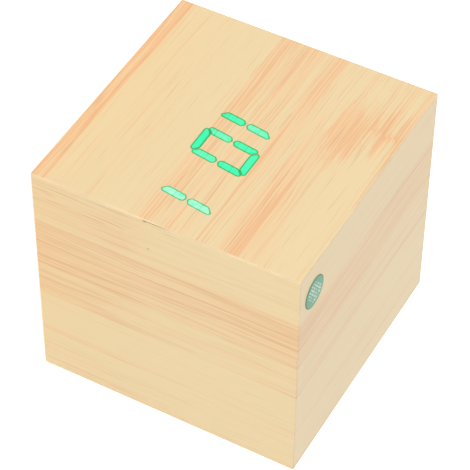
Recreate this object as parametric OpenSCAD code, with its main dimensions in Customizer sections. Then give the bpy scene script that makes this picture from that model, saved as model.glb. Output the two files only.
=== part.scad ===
// Digital desk clock: a small board case covered in printed wood film, standing on its flat underside.
// Slanted seven-segment digits shine through the front film. The screwed rear cover carries three keys,
// a supply socket and a battery bay with a hinged door.
// Millimetres. X runs to the right seen from the front, Y to the back and Z up.
// The origin is on the table, under the middle of the case.

/* [Case] */
// Width of the case
body_w = 63.5; // [62:0.5:80]
// Depth of the case, front to back
body_d = 60; // [56:0.5:80]
// Height of the case
body_h = 63.5; // [62:0.5:80]
// Thickness of the board walls
wall_t = 4; // [3:0.1:4.3]
// Thickness of the board behind the front film
front_t = 4; // [3:0.1:6]
// Thickness of the printed wood film
film_t = 0.3; // [0.2:0.05:0.5]
// Side of the square glue blocks in the rear corners
block_w = 6.5; // [6:0.1:6.8]
// Length of the glue blocks, front to back
block_l = 12; // [10:0.5:14]
// Diameter of the round sticker on the top
label_d = 7.8; // [6:0.1:12]
// Thickness of the round sticker
label_t = 0.1; // [0.05:0.05:0.3]
// Distance from the right face to the middle of the sticker
label_side = 6.4; // [6:0.1:20]
// Distance from the front face to the middle of the sticker
label_front = 8.5; // [6:0.1:20]

/* [Display] */
// Digits shown, from the left, where -1 is a blank place
shown = [-1, 1, 0, 1]; // [-1:1:9]
// Height of a digit
digit_h = 14.2; // [12:0.1:15]
// Distance between the middles of neighbouring digits
digit_pitch = 12.7; // [11.5:0.1:13]
// Distance between the middles of a digit's two upright strokes
digit_w = 6.9; // [6:0.1:7.4]
// Width of a stroke
stroke = 1.9; // [1.5:0.1:2.2]
// Gap between neighbouring segments of a digit
segment_gap = 0.2; // [0.1:0.05:0.5]
// Length cut off each outer corner of a digit
corner_cut = 1.3; // [0.8:0.1:1.8]
// Lean of the digits to the right, in degrees
slant = 8; // [0:1:12]
// Diameter of the two dots between the hours and the minutes
dot_d = 1.6; // [1:0.1:2]
// Height of each dot from the middle of the digits
dot_rise = 2.9; // [2:0.1:4]
// Height of the display's middle above the middle of the case
display_rise = 0.4; // [-2:0.1:2]
// Depth of the display housing
housing_d = 7; // [6.5:0.1:9]
// Edge of the display housing above and below the digits
housing_edge = 2.4; // [1.8:0.1:3]
// Width of the display housing
housing_w = 50.3; // [49:0.1:52]
// Thickness of the display's base board
base_t = 1; // [0.8:0.1:1.6]
// Height of a light chip on the base board
chip_h = 0.3; // [0.2:0.05:0.4]
// Side of a light chip
chip_w = 0.8; // [0.5:0.1:1]
// Depth of the air space between the base board and the segment bars
chip_room = 0.5; // [0.45:0.05:1]
// Diameter of a display pin
pin_d = 0.5; // [0.4:0.05:0.6]
// Distance between neighbouring display pins
pin_pitch = 2.54; // [2:0.02:2.6]
// Number of display pins in each of the two rows
pins_in_row = 6; // [4:1:8]
// Distance between the two rows of display pins
pin_rows = 15.24; // [12:0.02:16]
// Length of the display pins behind the base board
pin_l = 3; // [2.2:0.1:4]

/* [Clock board] */
// Thickness of the circuit boards
board_t = 1.6; // [1.2:0.1:2]
// Height of the clock board
board_h = 44; // [42:0.5:48]
// Space between the clock board's side edges and the case walls
board_side = 0.95; // [0.5:0.05:1.5]
// Distance from the clock board's edges to its screws
screw_inset = 3.2; // [3:0.1:4]
// Outer diameter of the clock board's spacers
spacer_d = 5; // [4:0.1:5.6]
// Shank diameter of the clock board's screws
board_screw_d = 1.8; // [1.6:0.1:2]
// Depth of the clock board's screws in the front board
screw_bite = 2.6; // [1.5:0.1:2.8]
// Length, width and height of the controller chip
controller = [17.9, 7.5, 2.3]; // [1:0.1:20]
// Number of leads on each side of the controller chip
leads_in_row = 14; // [8:1:14]
// Distance between neighbouring chip leads
lead_pitch = 1.27; // [1:0.01:1.3]
// Width, thickness, reach and shoulder height of a chip lead
lead = [0.4, 0.25, 1.4, 1]; // [0.1:0.05:2]
// Length, width and height of the crystal can
crystal = [11, 4.6, 3.6]; // [1:0.1:12]
// Diameter of the coin cell that keeps the time
coin_d = 12.5; // [10:0.1:12.5]
// Thickness of the coin cell
coin_t = 2; // [1.6:0.1:2.5]
// Wall and floor of the coin cell holder
holder_t = 1.2; // [0.8:0.1:1.5]
// Width and thickness of the coin cell's clip
clip = [4, 0.4]; // [0.2:0.1:5]
// Diameter of the buzzer
buzzer_d = 12; // [9:0.1:13]
// Height of the buzzer
buzzer_h = 8.5; // [6:0.1:10]
// Diameter and depth of the buzzer's sound hole
buzzer_hole = [2, 3]; // [1:0.1:5]
// Diameter and height of the capacitor can
capacitor = [6.3, 7.7]; // [4:0.1:9]
// Side and height of the capacitor's foot
capacitor_foot = [6.6, 1]; // [0.5:0.1:7]
// Number of small resistors
resistor_count = 8; // [4:1:9]
// Length, width and height of a small resistor
resistor = [1.6, 0.8, 0.45]; // [0.3:0.05:2]
// Distance between neighbouring small resistors
resistor_pitch = 3.4; // [2:0.1:4]
// Place of the controller chip, from the middle of the clock board
controller_at = [-10, 13.5]; // [-20:0.1:20]
// Place of the crystal can, from the middle of the clock board
crystal_at = [-10, 4.5]; // [-20:0.1:20]
// Place of the coin cell, from the middle of the clock board
coin_at = [13, -14.5]; // [-20:0.1:20]
// Place of the buzzer, from the middle of the clock board
buzzer_at = [-13, -14.5]; // [-20:0.1:20]
// Place of the capacitor can, from the middle of the clock board
capacitor_at = [17.5, 11]; // [-20:0.1:20]
// Place of the small resistors, from the middle of the clock board
resistors_at = [0, -3]; // [-20:0.1:20]
// Distance of the ribbon cable to the right of the middle
ribbon_x = 6; // [0:0.1:12]
// Height of the ribbon cable's lower end above the middle of the clock board
ribbon_rise = 13.5; // [10:0.1:16]
// Width of the ribbon cable
ribbon_w = 8; // [6:0.5:8]
// Thickness of the ribbon cable
ribbon_t = 0.9; // [0.6:0.1:1.2]
// Sag of the ribbon cable between its sockets
ribbon_sag = 4; // [2:0.5:6]
// Height and depth of a ribbon socket
ribbon_socket = [4.5, 4.5]; // [3:0.1:6]
// Wall of a ribbon socket beside the cable
ribbon_wall = 1; // [0.6:0.1:1.4]

/* [Rear cover] */
// Depth of the rear cover's face inside the case's rear edge
rim_depth = 1; // [1:0.1:2]
// Thickness of the rear cover
cover_t = 2; // [2:0.1:2.4]
// Shank diameter of the cover screws
cover_screw_d = 2; // [1.6:0.1:2.4]
// Length of the cover screws under the head
cover_screw_l = 8; // [6:0.5:10]
// Head diameter of the cover screws
cover_head_d = 4.2; // [3.6:0.1:4.6]
// Head height of the cover screws
cover_head_h = 1.4; // [1:0.1:1.6]
// Depth of the pocket round each cover screw head
head_pocket = 1; // [0.6:0.1:1.2]
// Depth of a pilot hole past its screw
pilot_extra = 1; // [0.5:0.1:1.5]
// Number of sound slots
slot_count = 6; // [3:1:8]
// Distance between neighbouring sound slots
slot_pitch = 4; // [3:0.1:4.5]
// Width and height of a sound slot
slot = [1.2, 3.4]; // [0.8:0.1:4]
// Diameter of the posts that carry the key board
post_d = 3.6; // [3.2:0.1:3.8]
// Length of the posts that carry the key board
post_l = 7.5; // [7:0.1:9]
// Shank diameter of the key board's screws
key_screw_d = 1.4; // [1.2:0.1:1.6]
// Depth of the key board's screws in the posts
key_screw_bite = 5; // [3:0.1:5.5]

/* [Keys and supply socket] */
// Diameter of a key
key_d = 5.4; // [4.5:0.1:5.8]
// Height of a key above the rear cover
key_rise = 0.6; // [0.3:0.05:0.7]
// Distance between neighbouring keys
key_pitch = 8.2; // [7.6:0.1:8.6]
// Distance from the last key to the supply socket
socket_step = 9; // [8:0.1:9.4]
// Bevel round the top of a key
key_edge = 0.4; // [0.2:0.05:0.6]
// Diameter of the collar that keeps a key in
collar_d = 7; // [6.6:0.1:7.2]
// Thickness of the collar
collar_t = 0.8; // [0.6:0.1:1]
// Travel of a key
key_travel = 0.6; // [0.3:0.05:0.8]
// Height of the mark on a key
mark_h = 0.2; // [0.1:0.05:0.25]
// Width of the mark on a key
mark_w = 2.4; // [1.5:0.1:3]
// Side of a switch body
switch_w = 6; // [4.5:0.1:6.2]
// Height of a switch body
switch_h = 3.5; // [3:0.1:4]
// Diameter of a switch stem
stem_d = 3.5; // [2.5:0.1:3.8]
// Step from a switch stem to the narrower neck of its key
neck_step = 0.5; // [0.2:0.1:1]
// Height of a switch stem above its body
stem_rise = 1.5; // [1:0.1:2]
// Depth of a switch stem inside its body
stem_sunk = 0.6; // [0.4:0.1:1]
// Side of the supply socket's body
socket_w = 6.4; // [6.2:0.1:6.8]
// Diameter of the supply socket's nose
nose_d = 6; // [5.5:0.1:6]
// Depth of the nose's end inside the rear cover's face
nose_sunk = 0.2; // [0:0.1:0.5]
// Bore of the supply socket
socket_bore = 3.6; // [3:0.1:4]
// Depth of the supply socket's bore
socket_depth = 7.5; // [6:0.1:8]
// Diameter of the supply socket's pin
socket_pin_d = 1.3; // [1:0.05:1.6]
// Length of the supply socket's pin
socket_pin_l = 6; // [4:0.1:7]
// Diameter and height of the microphone
microphone_size = [6, 2.7]; // [2:0.1:9]
// Diameter and depth of the microphone's sound hole
microphone_hole = [1.2, 1]; // [0.5:0.1:2]
// Distance of the microphone to the left of the key board's middle
microphone_x = 12; // [9:0.1:12]
// Distance of the temperature sensor to the left of the key board's middle
sensor_x = 4; // [2:0.1:6]
// Diameter of the temperature sensor's legs
sensor_leg_d = 0.5; // [0.3:0.1:0.6]
// Diameter of the temperature sensor's bead
sensor_d = 2.2; // [1.6:0.1:3]
// Distance of the temperature sensor's bead from the key board
sensor_reach = 4; // [3:0.1:6]

/* [Battery bay] */
// Diameter of a battery cell
cell_d = 10.5; // [10.2:0.1:10.6]
// Length of a battery cell with its nub
cell_l = 44.5; // [44:0.1:45]
// Diameter and height of a cell's nub
nub = [3.8, 0.8]; // [0.5:0.1:5]
// Space between the cells and around them
cell_gap = 0.3; // [0.2:0.05:0.35]
// Wall of the battery bay
bay_t = 1.2; // [1:0.1:1.3]
// Length of a pressed contact spring
spring_l = 4; // [3.5:0.1:4.5]
// Wire diameter of a contact spring
wire_d = 0.5; // [0.4:0.05:0.6]
// Curls of a contact spring
spring_turns = 3; // [2:1:3]
// Radius of a contact spring at its plate and at the cell
spring_r = [3.4, 2.4]; // [1.5:0.1:4]
// Thickness of a contact plate
plate_t = 0.4; // [0.3:0.05:0.5]
// Width of a contact plate
plate_w = 8.5; // [7.5:0.1:9]
// Diameter and height of the raised round on a plus contact
boss = [3, 0.6]; // [0.3:0.1:4]
// Width and reach of a contact's solder tail
tail = [3, 2.2]; // [1:0.1:4]
// Diameter of the battery leads
wire_lead_d = 1; // [0.8:0.1:1.2]

/* [Battery door] */
// Thickness of the battery door
door_t = 1.4; // [1.2:0.1:1.6]
// Overlap of the door over the edge of the battery bay
door_lap = 0.7; // [0.6:0.05:0.8]
// Distance of the hinge line behind the door's outer face
hinge_sunk = 1.1; // [1.05:0.05:1.2]
// Diameter of the hinge pins
hinge_pin_d = 1.2; // [0.8:0.05:1.3]
// Length of a hinge pin
hinge_pin_l = 0.8; // [0.5:0.05:0.9]
// Width and length of the door's latch tongue
tongue = [10, 7]; // [4:0.5:14]
// Width of the slits beside the latch tongue
slit_w = 0.6; // [0.4:0.1:1]
// Number of grip ribs on the latch tongue
rib_count = 3; // [2:1:4]
// Width and height of a grip rib
rib = [0.7, 0.4]; // [0.2:0.1:1]
// Distance between neighbouring grip ribs
rib_pitch = 1.5; // [1.2:0.1:1.6]
// Radius of the finger hollow above the door
scoop_r = 3.2; // [2.5:0.1:3.4]
// Depth of the finger hollow
scoop_depth = 1.2; // [0.8:0.1:1.4]

/* [Clearances] */
// Space round seated and glued pieces
seat_gap = 0.1; // [0.05:0.05:0.15]
// Space round the hinge pins
hinge_gap = 0.06; // [0.03:0.01:0.1]
// Space round the keys and switch stems
key_gap = 0.1; // [0.05:0.05:0.15]
// Space round the door's edges
edge_gap = 0.15; // [0.1:0.05:0.2]
// Space between the closed door and its seat
door_gap = 0.05; // [0.03:0.01:0.1]
// Space round screws and pins in their holes
hole_gap = 0.15; // [0.1:0.05:0.2]
// Space round a screw's thread in its pilot hole
thread_gap = 0.05; // [0.02:0.01:0.08]
// Space between the battery bay and the glue blocks below it
bay_gap = 0.3; // [0.2:0.1:0.4]
// Space round the key board
key_board_gap = 0.35; // [0.2:0.05:0.5]
// Space round a solder tail in its slot
tail_gap = 0.2; // [0.1:0.05:0.3]

/* [Hidden] */
$fn = 64;

// Case planes
half_w = body_w / 2;
half_h = body_h / 2;
front_y = -body_d / 2;
rear_y = body_d / 2;
film_y = front_y + film_t;
panel_y = film_y + front_t;
shell_t = film_t + wall_t;
in_half_w = half_w - shell_t;
in_half_h = half_h - shell_t;
in_low_z = shell_t;
in_high_z = body_h - shell_t;

// Digits: outer corner of a digit, the cut at that corner and the mitre between two segments
display_z = half_h + display_rise;
out_x = (digit_w + stroke) / 2;
out_z = digit_h / 2;
corner_sum = out_x + out_z - corner_cut;
mitre = out_z - out_x;
half_gap = segment_gap * sqrt(2) / 2;
digit_count = 4;
SEGMENTS = ["a", "b", "c", "d", "e", "f", "g"];
LIT = ["abcdef", "bc", "abdeg", "abcdg", "bcfg", "acdfg", "acdefg", "abc", "abcdefg", "abcdfg"];

// Display planes
housing_h = digit_h + 2 * housing_edge;
housing_y = film_y + housing_d;
resin_y = housing_y - chip_room;
base_y = housing_y + base_t;
pin_tip_y = base_y + pin_l;

// Clock board
board_half_w = in_half_w - board_side;
board_y = base_y + board_t;
screw_x = board_half_w - screw_inset;
screw_z = board_h / 2 - screw_inset;
board_head_d = board_screw_d * 2;
board_head_h = board_screw_d * 0.7;

// Coin cell holder and the ribbon cable's lower end
holder_d = coin_d + 2 * (seat_gap + holder_t);
ribbon_low_z = half_h + ribbon_rise;

// Rear cover planes
cover_back_y = rear_y - rim_depth;
cover_y = cover_back_y - cover_t;
cover_w = 2 * (in_half_w - seat_gap);
cover_h = 2 * (in_half_h - seat_gap);
block_x = in_half_w - block_w / 2;
block_low_z = in_low_z + block_w / 2;
block_high_z = in_high_z - block_w / 2;
cover_head_y = cover_back_y - head_pocket;

// Battery bay
door_y = cover_back_y - door_t;
seat_y = door_y - door_gap;
cell_y = door_y - cell_gap - cell_d / 2;
bay_floor_y = cell_y - cell_d / 2 - cell_gap;
bay_out_y = bay_floor_y - bay_t;
bay_l = cell_l + spring_l + boss[1] + 2 * plate_t;
bay_h = 3 * cell_d + 4 * cell_gap;
bay_low_z = in_low_z + block_w + bay_gap + bay_t;
bay_mid_z = bay_low_z + bay_h / 2;
bay_high_z = bay_low_z + bay_h;
bay_out_z = bay_high_z + bay_t;
cell_step = cell_d + cell_gap;
contact_x = bay_l / 2 - plate_t;
tail_end_y = bay_out_y - tail[1];

// Battery door
door_w = bay_l + 2 * door_lap;
hinge_y = cover_back_y - hinge_sunk;
hinge_z = bay_low_z - door_lap + hinge_sunk;
door_high_z = bay_high_z + door_lap;

// Key row
row_z = (bay_out_z + in_high_z) / 2;
row_l = 2 * key_pitch + socket_step;
set_x = row_l / 2;
up_x = set_x - key_pitch;
down_x = up_x - key_pitch;
socket_x = down_x - socket_step;
key_board_y = cover_y - post_l;
key_front_y = key_board_y - board_t;
key_board_half = in_half_w - block_w - key_board_gap;
key_board_low = bay_out_z + key_board_gap;
key_board_high = in_high_z - key_board_gap;
post_x = key_board_half - post_d / 2;
key_head_d = key_screw_d * 2.2;
key_head_h = key_screw_d * 0.8;
switch_y = key_board_y + switch_h;
stem_top_y = switch_y + stem_rise;
key_top_y = cover_back_y + key_rise;
collar_y = cover_y - key_gap / 2;
neck_d = stem_d - neck_step;
nose_y = cover_back_y - nose_sunk;

// Routes of the battery leads, from the solder tails to the key board
tail_x = contact_x;
lead_y = tail_end_y + tail[1] / 2;
lead_end_z = row_z - 2.6;
function lead_route(side, start_z, rise) = [
  [side * tail_x, lead_y, start_z],
  [side * (tail_x - 1.5), lead_y, start_z],
  [side * (tail_x - 4), lead_y - 0.2, start_z + 2.5],
  [side * (tail_x - 5), lead_y - 0.2, start_z + rise / 2],
  [side * (tail_x - 6), lead_y - 0.2, lead_end_z - 4],
  [side * (tail_x - 6.8), lead_y, lead_end_z - 0.6],
  [side * (tail_x - 7), lead_y + 1.5, lead_end_z],
  [side * (tail_x - 7), key_front_y, lead_end_z]
];

// Solid between two Y planes over an outline drawn in X and Z
module prism(y0, y1) {
  translate([0, y1, 0])
    rotate([90, 0, 0])
      linear_extrude(y1 - y0)
        children();
}

// Outline of a rectangle about a middle point
module rect(w, h, x, z) {
  translate([x - w / 2, z - h / 2])
    square([w, h]);
}

// Block about a middle point in X and Z, between two Y planes
module block(w, h, x, z, y0, y1) {
  prism(y0, y1)
    rect(w, h, x, z);
}

// Round bar along Y
module rod(d, y0, y1, x, z) {
  translate([x, y1, z])
    rotate([90, 0, 0])
      cylinder(d = d, h = y1 - y0);
}

// Round bar along X
module bar(d, x0, x1, y, z) {
  translate([x0, y, z])
    rotate([0, 90, 0])
      cylinder(d = d, h = x1 - x0);
}

// Solid of a profile [radius, y] turned round a line along Y
module turned(profile, x, z) {
  translate([x, 0, z])
    rotate([-90, 0, 0])
      rotate_extrude()
        polygon(profile);
}

// One side of a mitred frame in X and Z: 0 top, 1 right, 2 bottom, 3 left
function frame_side(side, a, b, t) =
  let (
    outer = [[-a, b], [a, b], [a, -b], [-a, -b]],
    inner = [[t - a, b - t], [a - t, b - t], [a - t, t - b], [t - a, t - b]],
    next = (side + 1) % 4
  )
  [outer[side], outer[next], inner[next], inner[side]];

module wall(side) {
  translate([0, 0, half_h])
    prism(film_y, rear_y)
      polygon(frame_side(side, half_w - film_t, half_h - film_t, wall_t));
}

module film(side) {
  translate([0, 0, half_h])
    prism(film_y, rear_y)
      polygon(frame_side(side, half_w, half_h, film_t));
}

// Tubes swept along a path
function unit(v) = v / norm(v);
function tangent(p, i) = unit(p[min(i + 1, len(p) - 1)] - p[max(i - 1, 0)]);
function squared(n, t) = unit(n - t * (n * t));
function normals(p, first) = [
  for (i = 0, n = squared(first, tangent(p, 0)); i < len(p);
       i = i + 1, n = squared(n, tangent(p, min(i, len(p) - 1)))) n
];
function curve(a, b, c, d, u) =
  (2 * b + (c - a) * u + (2 * a - 5 * b + 4 * c - d) * u * u + (3 * b - a - 3 * c + d) * u * u * u) / 2;
// Curve through a route whose first and last stretches stay straight
function smooth(p, steps) =
  let (last = len(p) - 1)
  concat(
    [p[0]],
    [
      for (i = [1 : last - 2], j = [0 : steps - 1])
        curve(p[i - 1], p[i], p[i + 1], p[i + 2], j / steps)
    ],
    [p[last - 1], p[last]]
  );

module tube(p, d, sides, first) {
  n = normals(p, first);
  last = len(p) - 1;
  points = [
    for (i = [0 : last], k = [0 : sides - 1])
      let (b = cross(tangent(p, i), n[i]), turn = 360 * k / sides)
      p[i] + d / 2 * (n[i] * cos(turn) + b * sin(turn))
  ];
  start = [for (k = [0 : sides - 1]) k];
  end = [for (k = [sides - 1 : -1 : 0]) last * sides + k];
  skin = [
    for (i = [0 : last - 1], k = [0 : sides - 1], half = [0, 1])
      let (a = i * sides + k, b = i * sides + (k + 1) % sides)
      half == 0 ? [a, a + sides, b + sides] : [a, b + sides, b]
  ];
  polyhedron(points, concat([start, end], skin));
}

// Segment outlines about the middle of an upright digit
function seg_a() =
  let (
    m = mitre + half_gap,
    top = [corner_sum - out_z, out_z],
    tip = [(corner_sum - m) / 2, (corner_sum + m) / 2],
    low = [out_z - stroke - m, out_z - stroke]
  )
  [[-top.x, top.y], top, tip, low, [-low.x, low.y], [-tip.x, tip.y]];
function seg_b() =
  let (
    m = mitre - half_gap,
    in_x = out_x - stroke,
    foot = segment_gap + stroke / 3
  )
  [
    [out_x, corner_sum - out_x],
    [(corner_sum - m) / 2, (corner_sum + m) / 2],
    [in_x, in_x + m],
    [in_x, foot],
    [in_x + stroke / 2, segment_gap],
    [out_x, foot]
  ];
function seg_g() =
  let (tip = digit_w / 2 - 2 * segment_gap, low = tip - stroke / 2)
  [[tip, 0], [low, stroke / 2], [-low, stroke / 2], [-tip, 0], [-low, -stroke / 2], [low, -stroke / 2]];
function flipped(p, fx, fz) = [for (q = p) [q.x * fx, q.y * fz]];
function leaning(p) = [for (q = p) [q.x + q.y * tan(slant), q.y]];
function upright(name) =
  name == "a" ? seg_a()
  : name == "b" ? seg_b()
  : name == "c" ? flipped(seg_b(), 1, -1)
  : name == "d" ? flipped(seg_a(), 1, -1)
  : name == "e" ? flipped(seg_b(), -1, -1)
  : name == "f" ? flipped(seg_b(), -1, 1)
  : seg_g();
function digit_x(i) = (i - (digit_count - 1) / 2) * digit_pitch;
function segment(i, name) = [for (q = leaning(upright(name))) q + [digit_x(i), display_z]];
function middle(p) = [for (q = p) 1 / len(p)] * p;
function is_lit(i, name) = shown[i] >= 0 && len(search(name, LIT[shown[i]])) > 0;

module segments(lit) {
  for (i = [0 : digit_count - 1], name = SEGMENTS)
    if (is_lit(i, name) == lit)
      polygon(segment(i, name));
}

module dots(d) {
  for (side = [-1, 1])
    translate([side * dot_rise * tan(slant), display_z + side * dot_rise])
      circle(d = d);
}

// Screw with a domed head and a crossed slot, driven along Y from the plane of the head's underside
module screw(d, head_d, head_h, l, x, y, z, way) {
  slot_w = head_d / 7;
  slot_l = head_d * 0.6;
  slot_h = head_h / 2;
  translate([x, y, z])
    rotate([way * 90, 0, 0])
      difference() {
        union() {
          translate([0, 0, -l])
            cylinder(d = d, h = l);
          cylinder(d = head_d, h = head_h * 0.6);
          translate([0, 0, head_h * 0.6])
            cylinder(d1 = head_d, d2 = head_d * 0.6, h = head_h * 0.4);
        }
        for (turn = [0, 90])
          rotate([0, 0, turn])
            translate([-slot_l / 2, -slot_w / 2, head_h - slot_h])
              cube([slot_l, slot_w, head_h]);
      }
}

module wall_top() {
  color("burlywood")
    wall(0);
}

module wall_right() {
  color("burlywood")
    wall(1);
}

module wall_bottom() {
  color("burlywood")
    wall(2);
}

module wall_left() {
  color("burlywood")
    wall(3);
}

module film_top() {
  color("wheat")
    film(0);
}

module film_right() {
  color("wheat")
    film(1);
}

module film_bottom() {
  color("wheat")
    film(2);
}

module film_left() {
  color("wheat")
    film(3);
}

module front_film() {
  color("wheat")
    prism(front_y, film_y)
      difference() {
        rect(body_w, body_h, 0, half_h);
        segments(true);
      }
}

module front_panel() {
  color("burlywood")
    difference() {
      block(2 * (in_half_w - seat_gap), 2 * (in_half_h - seat_gap), 0, half_h, film_y, panel_y);
      block(housing_w + 2 * hole_gap, housing_h + 2 * hole_gap, 0, display_z, front_y, panel_y + 1);
      for (x = [-screw_x, screw_x], z = [-screw_z, screw_z])
        rod(board_screw_d + 2 * thread_gap, panel_y - screw_bite - 2 * thread_gap, panel_y + 1,
            x, half_h + z);
    }
}

module corner_blocks() {
  color("tan")
    for (x = [-block_x, block_x], z = [block_low_z, block_high_z])
      difference() {
        block(block_w, block_w, x, z, cover_y - block_l, cover_y);
        rod(cover_screw_d + 2 * thread_gap, cover_head_y - cover_screw_l - pilot_extra, rear_y, x, z);
      }
}

module round_label() {
  color("mediumaquamarine")
    translate([half_w - label_side, front_y + label_front, body_h])
      cylinder(d = label_d, h = label_t);
}

module display_housing() {
  color("gainsboro")
    prism(film_y, housing_y)
      difference() {
        rect(housing_w, housing_h, 0, display_z);
        segments(true);
        segments(false);
        dots(dot_d);
      }
}

module lit_segments() {
  color("springgreen")
    prism(front_y, resin_y)
      segments(true);
}

module dark_segments() {
  color("honeydew")
    prism(film_y, resin_y) {
      segments(false);
      dots(dot_d);
    }
}

module light_chips() {
  color("gold") {
    for (i = [0 : digit_count - 1], name = SEGMENTS) {
      at = middle(segment(i, name));
      block(chip_w, chip_w, at.x, at.y, housing_y - chip_h, housing_y);
    }
    for (side = [-1, 1])
      block(chip_w, chip_w, side * dot_rise * tan(slant), display_z + side * dot_rise,
            housing_y - chip_h, housing_y);
  }
}

module display_base() {
  color("ivory")
    block(housing_w, housing_h, 0, display_z, housing_y, base_y);
}

module display_pins() {
  color("silver")
    for (i = [0 : pins_in_row - 1], side = [-1, 1])
      rod(pin_d, base_y, pin_tip_y, (i - (pins_in_row - 1) / 2) * pin_pitch, display_z + side * pin_rows / 2);
}

module clock_board() {
  color("darkgreen")
    difference() {
      block(2 * board_half_w, board_h, 0, half_h, base_y, board_y);
      for (x = [-screw_x, screw_x], z = [-screw_z, screw_z])
        rod(board_screw_d + 2 * hole_gap, base_y - 1, board_y + 1, x, half_h + z);
      for (i = [0 : pins_in_row - 1], side = [-1, 1])
        rod(pin_d + 2 * hole_gap, base_y - 1, board_y + 1,
            (i - (pins_in_row - 1) / 2) * pin_pitch, display_z + side * pin_rows / 2);
    }
}

module board_spacers() {
  color("whitesmoke")
    for (x = [-screw_x, screw_x], z = [-screw_z, screw_z])
      difference() {
        rod(spacer_d, panel_y, base_y, x, half_h + z);
        rod(board_screw_d + 2 * hole_gap, panel_y - 1, base_y + 1, x, half_h + z);
      }
}

module board_screws() {
  color("silver")
    for (x = [-screw_x, screw_x], z = [-screw_z, screw_z])
      screw(board_screw_d, board_head_d, board_head_h, board_y - panel_y + screw_bite,
            x, board_y, half_h + z, -1);
}

module controller_chip() {
  color("dimgray")
    block(controller[0], controller[1], controller_at[0], half_h + controller_at[1],
          board_y + lead[1] / 2, board_y + controller[2]);
}

module chip_leads() {
  knee = lead[2] / 3;
  color("silver")
    for (i = [0 : leads_in_row - 1], side = [0, 1])
      translate([
        controller_at[0] + (i - (leads_in_row - 1) / 2) * lead_pitch - lead[0] / 2,
        board_y,
        half_h + controller_at[1]
      ])
        mirror([0, 0, side])
          translate([0, 0, controller[1] / 2])
            rotate([90, 0, 90])
              linear_extrude(lead[0])
                polygon([
                  [lead[3], 0],
                  [lead[3], knee],
                  [0, knee],
                  [0, lead[2]],
                  [lead[1], lead[2]],
                  [lead[1], knee + lead[1]],
                  [lead[3] + lead[1], knee + lead[1]],
                  [lead[3] + lead[1], 0]
                ]);
}

module crystal_can() {
  flange = crystal[2] / 8;
  color("lightgray")
    translate([crystal_at[0], 0, half_h + crystal_at[1]])
      for (size = [[0, crystal[2]], [flange, flange]]) {
        d = crystal[1] + size[0];
        reach = (crystal[0] - crystal[1]) / 2;
        block(2 * reach, d, 0, 0, board_y, board_y + size[1]);
        for (side = [-1, 1])
          rod(d, board_y, board_y + size[1], side * reach, 0);
      }
}

module coin_holder() {
  x = coin_at[0];
  z = half_h + coin_at[1];
  color("black")
    difference() {
      rod(holder_d, board_y, board_y + holder_t + coin_t, x, z);
      rod(coin_d + 2 * seat_gap, board_y + holder_t, board_y + holder_t + coin_t + 1, x, z);
    }
}

module coin_cell() {
  color("silver")
    rod(coin_d, board_y + holder_t, board_y + holder_t + coin_t, coin_at[0], half_h + coin_at[1]);
}

module coin_clip() {
  top_y = board_y + holder_t + coin_t;
  leg_x = holder_d / 2 + clip[1] / 2;
  color("goldenrod")
    translate([coin_at[0], 0, half_h + coin_at[1]]) {
      block(2 * leg_x + clip[1], clip[0], 0, 0, top_y, top_y + clip[1]);
      for (side = [-1, 1])
        block(clip[1], clip[0], side * leg_x, 0, board_y, top_y + clip[1]);
    }
}

module buzzer() {
  x = buzzer_at[0];
  z = half_h + buzzer_at[1];
  color("black")
    difference() {
      rod(buzzer_d, board_y, board_y + buzzer_h, x, z);
      rod(buzzer_hole[0], board_y + buzzer_h - buzzer_hole[1], board_y + buzzer_h + 1, x, z);
    }
}

module capacitor_can() {
  x = capacitor_at[0];
  z = half_h + capacitor_at[1];
  r = capacitor[0] / 2;
  groove = r / 10;
  waist_y = board_y + capacitor_foot[1] + groove;
  color("lightslategray") {
    block(capacitor_foot[0], capacitor_foot[0], x, z, board_y, board_y + capacitor_foot[1]);
    turned([
      [0, board_y],
      [r, board_y],
      [r, waist_y],
      [r - groove, waist_y + groove],
      [r, waist_y + 2 * groove],
      [r, board_y + capacitor[1] - groove],
      [r - groove, board_y + capacitor[1]],
      [0, board_y + capacitor[1]]
    ], x, z);
  }
}

module resistors() {
  color("darkslategray")
    for (i = [0 : resistor_count - 1])
      block(resistor[1], resistor[0], resistors_at[0] + (i - (resistor_count - 1) / 2) * resistor_pitch,
            half_h + resistors_at[1], board_y, board_y + resistor[2]);
}

// Sockets on the two boards, and the ribbon cable that hangs between them
ribbon_from_y = board_y + ribbon_socket[1];
ribbon_to_y = key_front_y - ribbon_socket[1];
ribbon_steps = 24;
function ribbon_z(u) =
  ribbon_low_z + (row_z - ribbon_low_z) * u * u * (3 - 2 * u) - ribbon_sag * pow(sin(180 * u), 2);
function ribbon_edge(side) = [
  for (i = [0 : ribbon_steps])
    let (
      u = i / ribbon_steps,
      step = 1 / ribbon_steps,
      run = ribbon_to_y - ribbon_from_y,
      rise = ribbon_z(min(u + step, 1)) - ribbon_z(max(u - step, 0)),
      along = i == 0 || i == ribbon_steps ? [1, 0] : unit([2 * step * run, rise])
    )
    [ribbon_from_y + u * run, ribbon_z(u)] + side * ribbon_t / 2 * [-along.y, along.x]
];
function backwards(p) = [for (i = [len(p) - 1 : -1 : 0]) p[i]];

module ribbon_sockets() {
  color("ivory") {
    block(ribbon_w + 2 * ribbon_wall, ribbon_socket[0], ribbon_x, ribbon_low_z, board_y, ribbon_from_y);
    block(ribbon_w + 2 * ribbon_wall, ribbon_socket[0], ribbon_x, row_z, ribbon_to_y, key_front_y);
  }
}

module ribbon_cable() {
  color("gray")
    translate([ribbon_x - ribbon_w / 2, 0, 0])
      rotate([90, 0, 90])
        linear_extrude(ribbon_w)
          polygon(concat(ribbon_edge(1), backwards(ribbon_edge(-1))));
}

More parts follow.
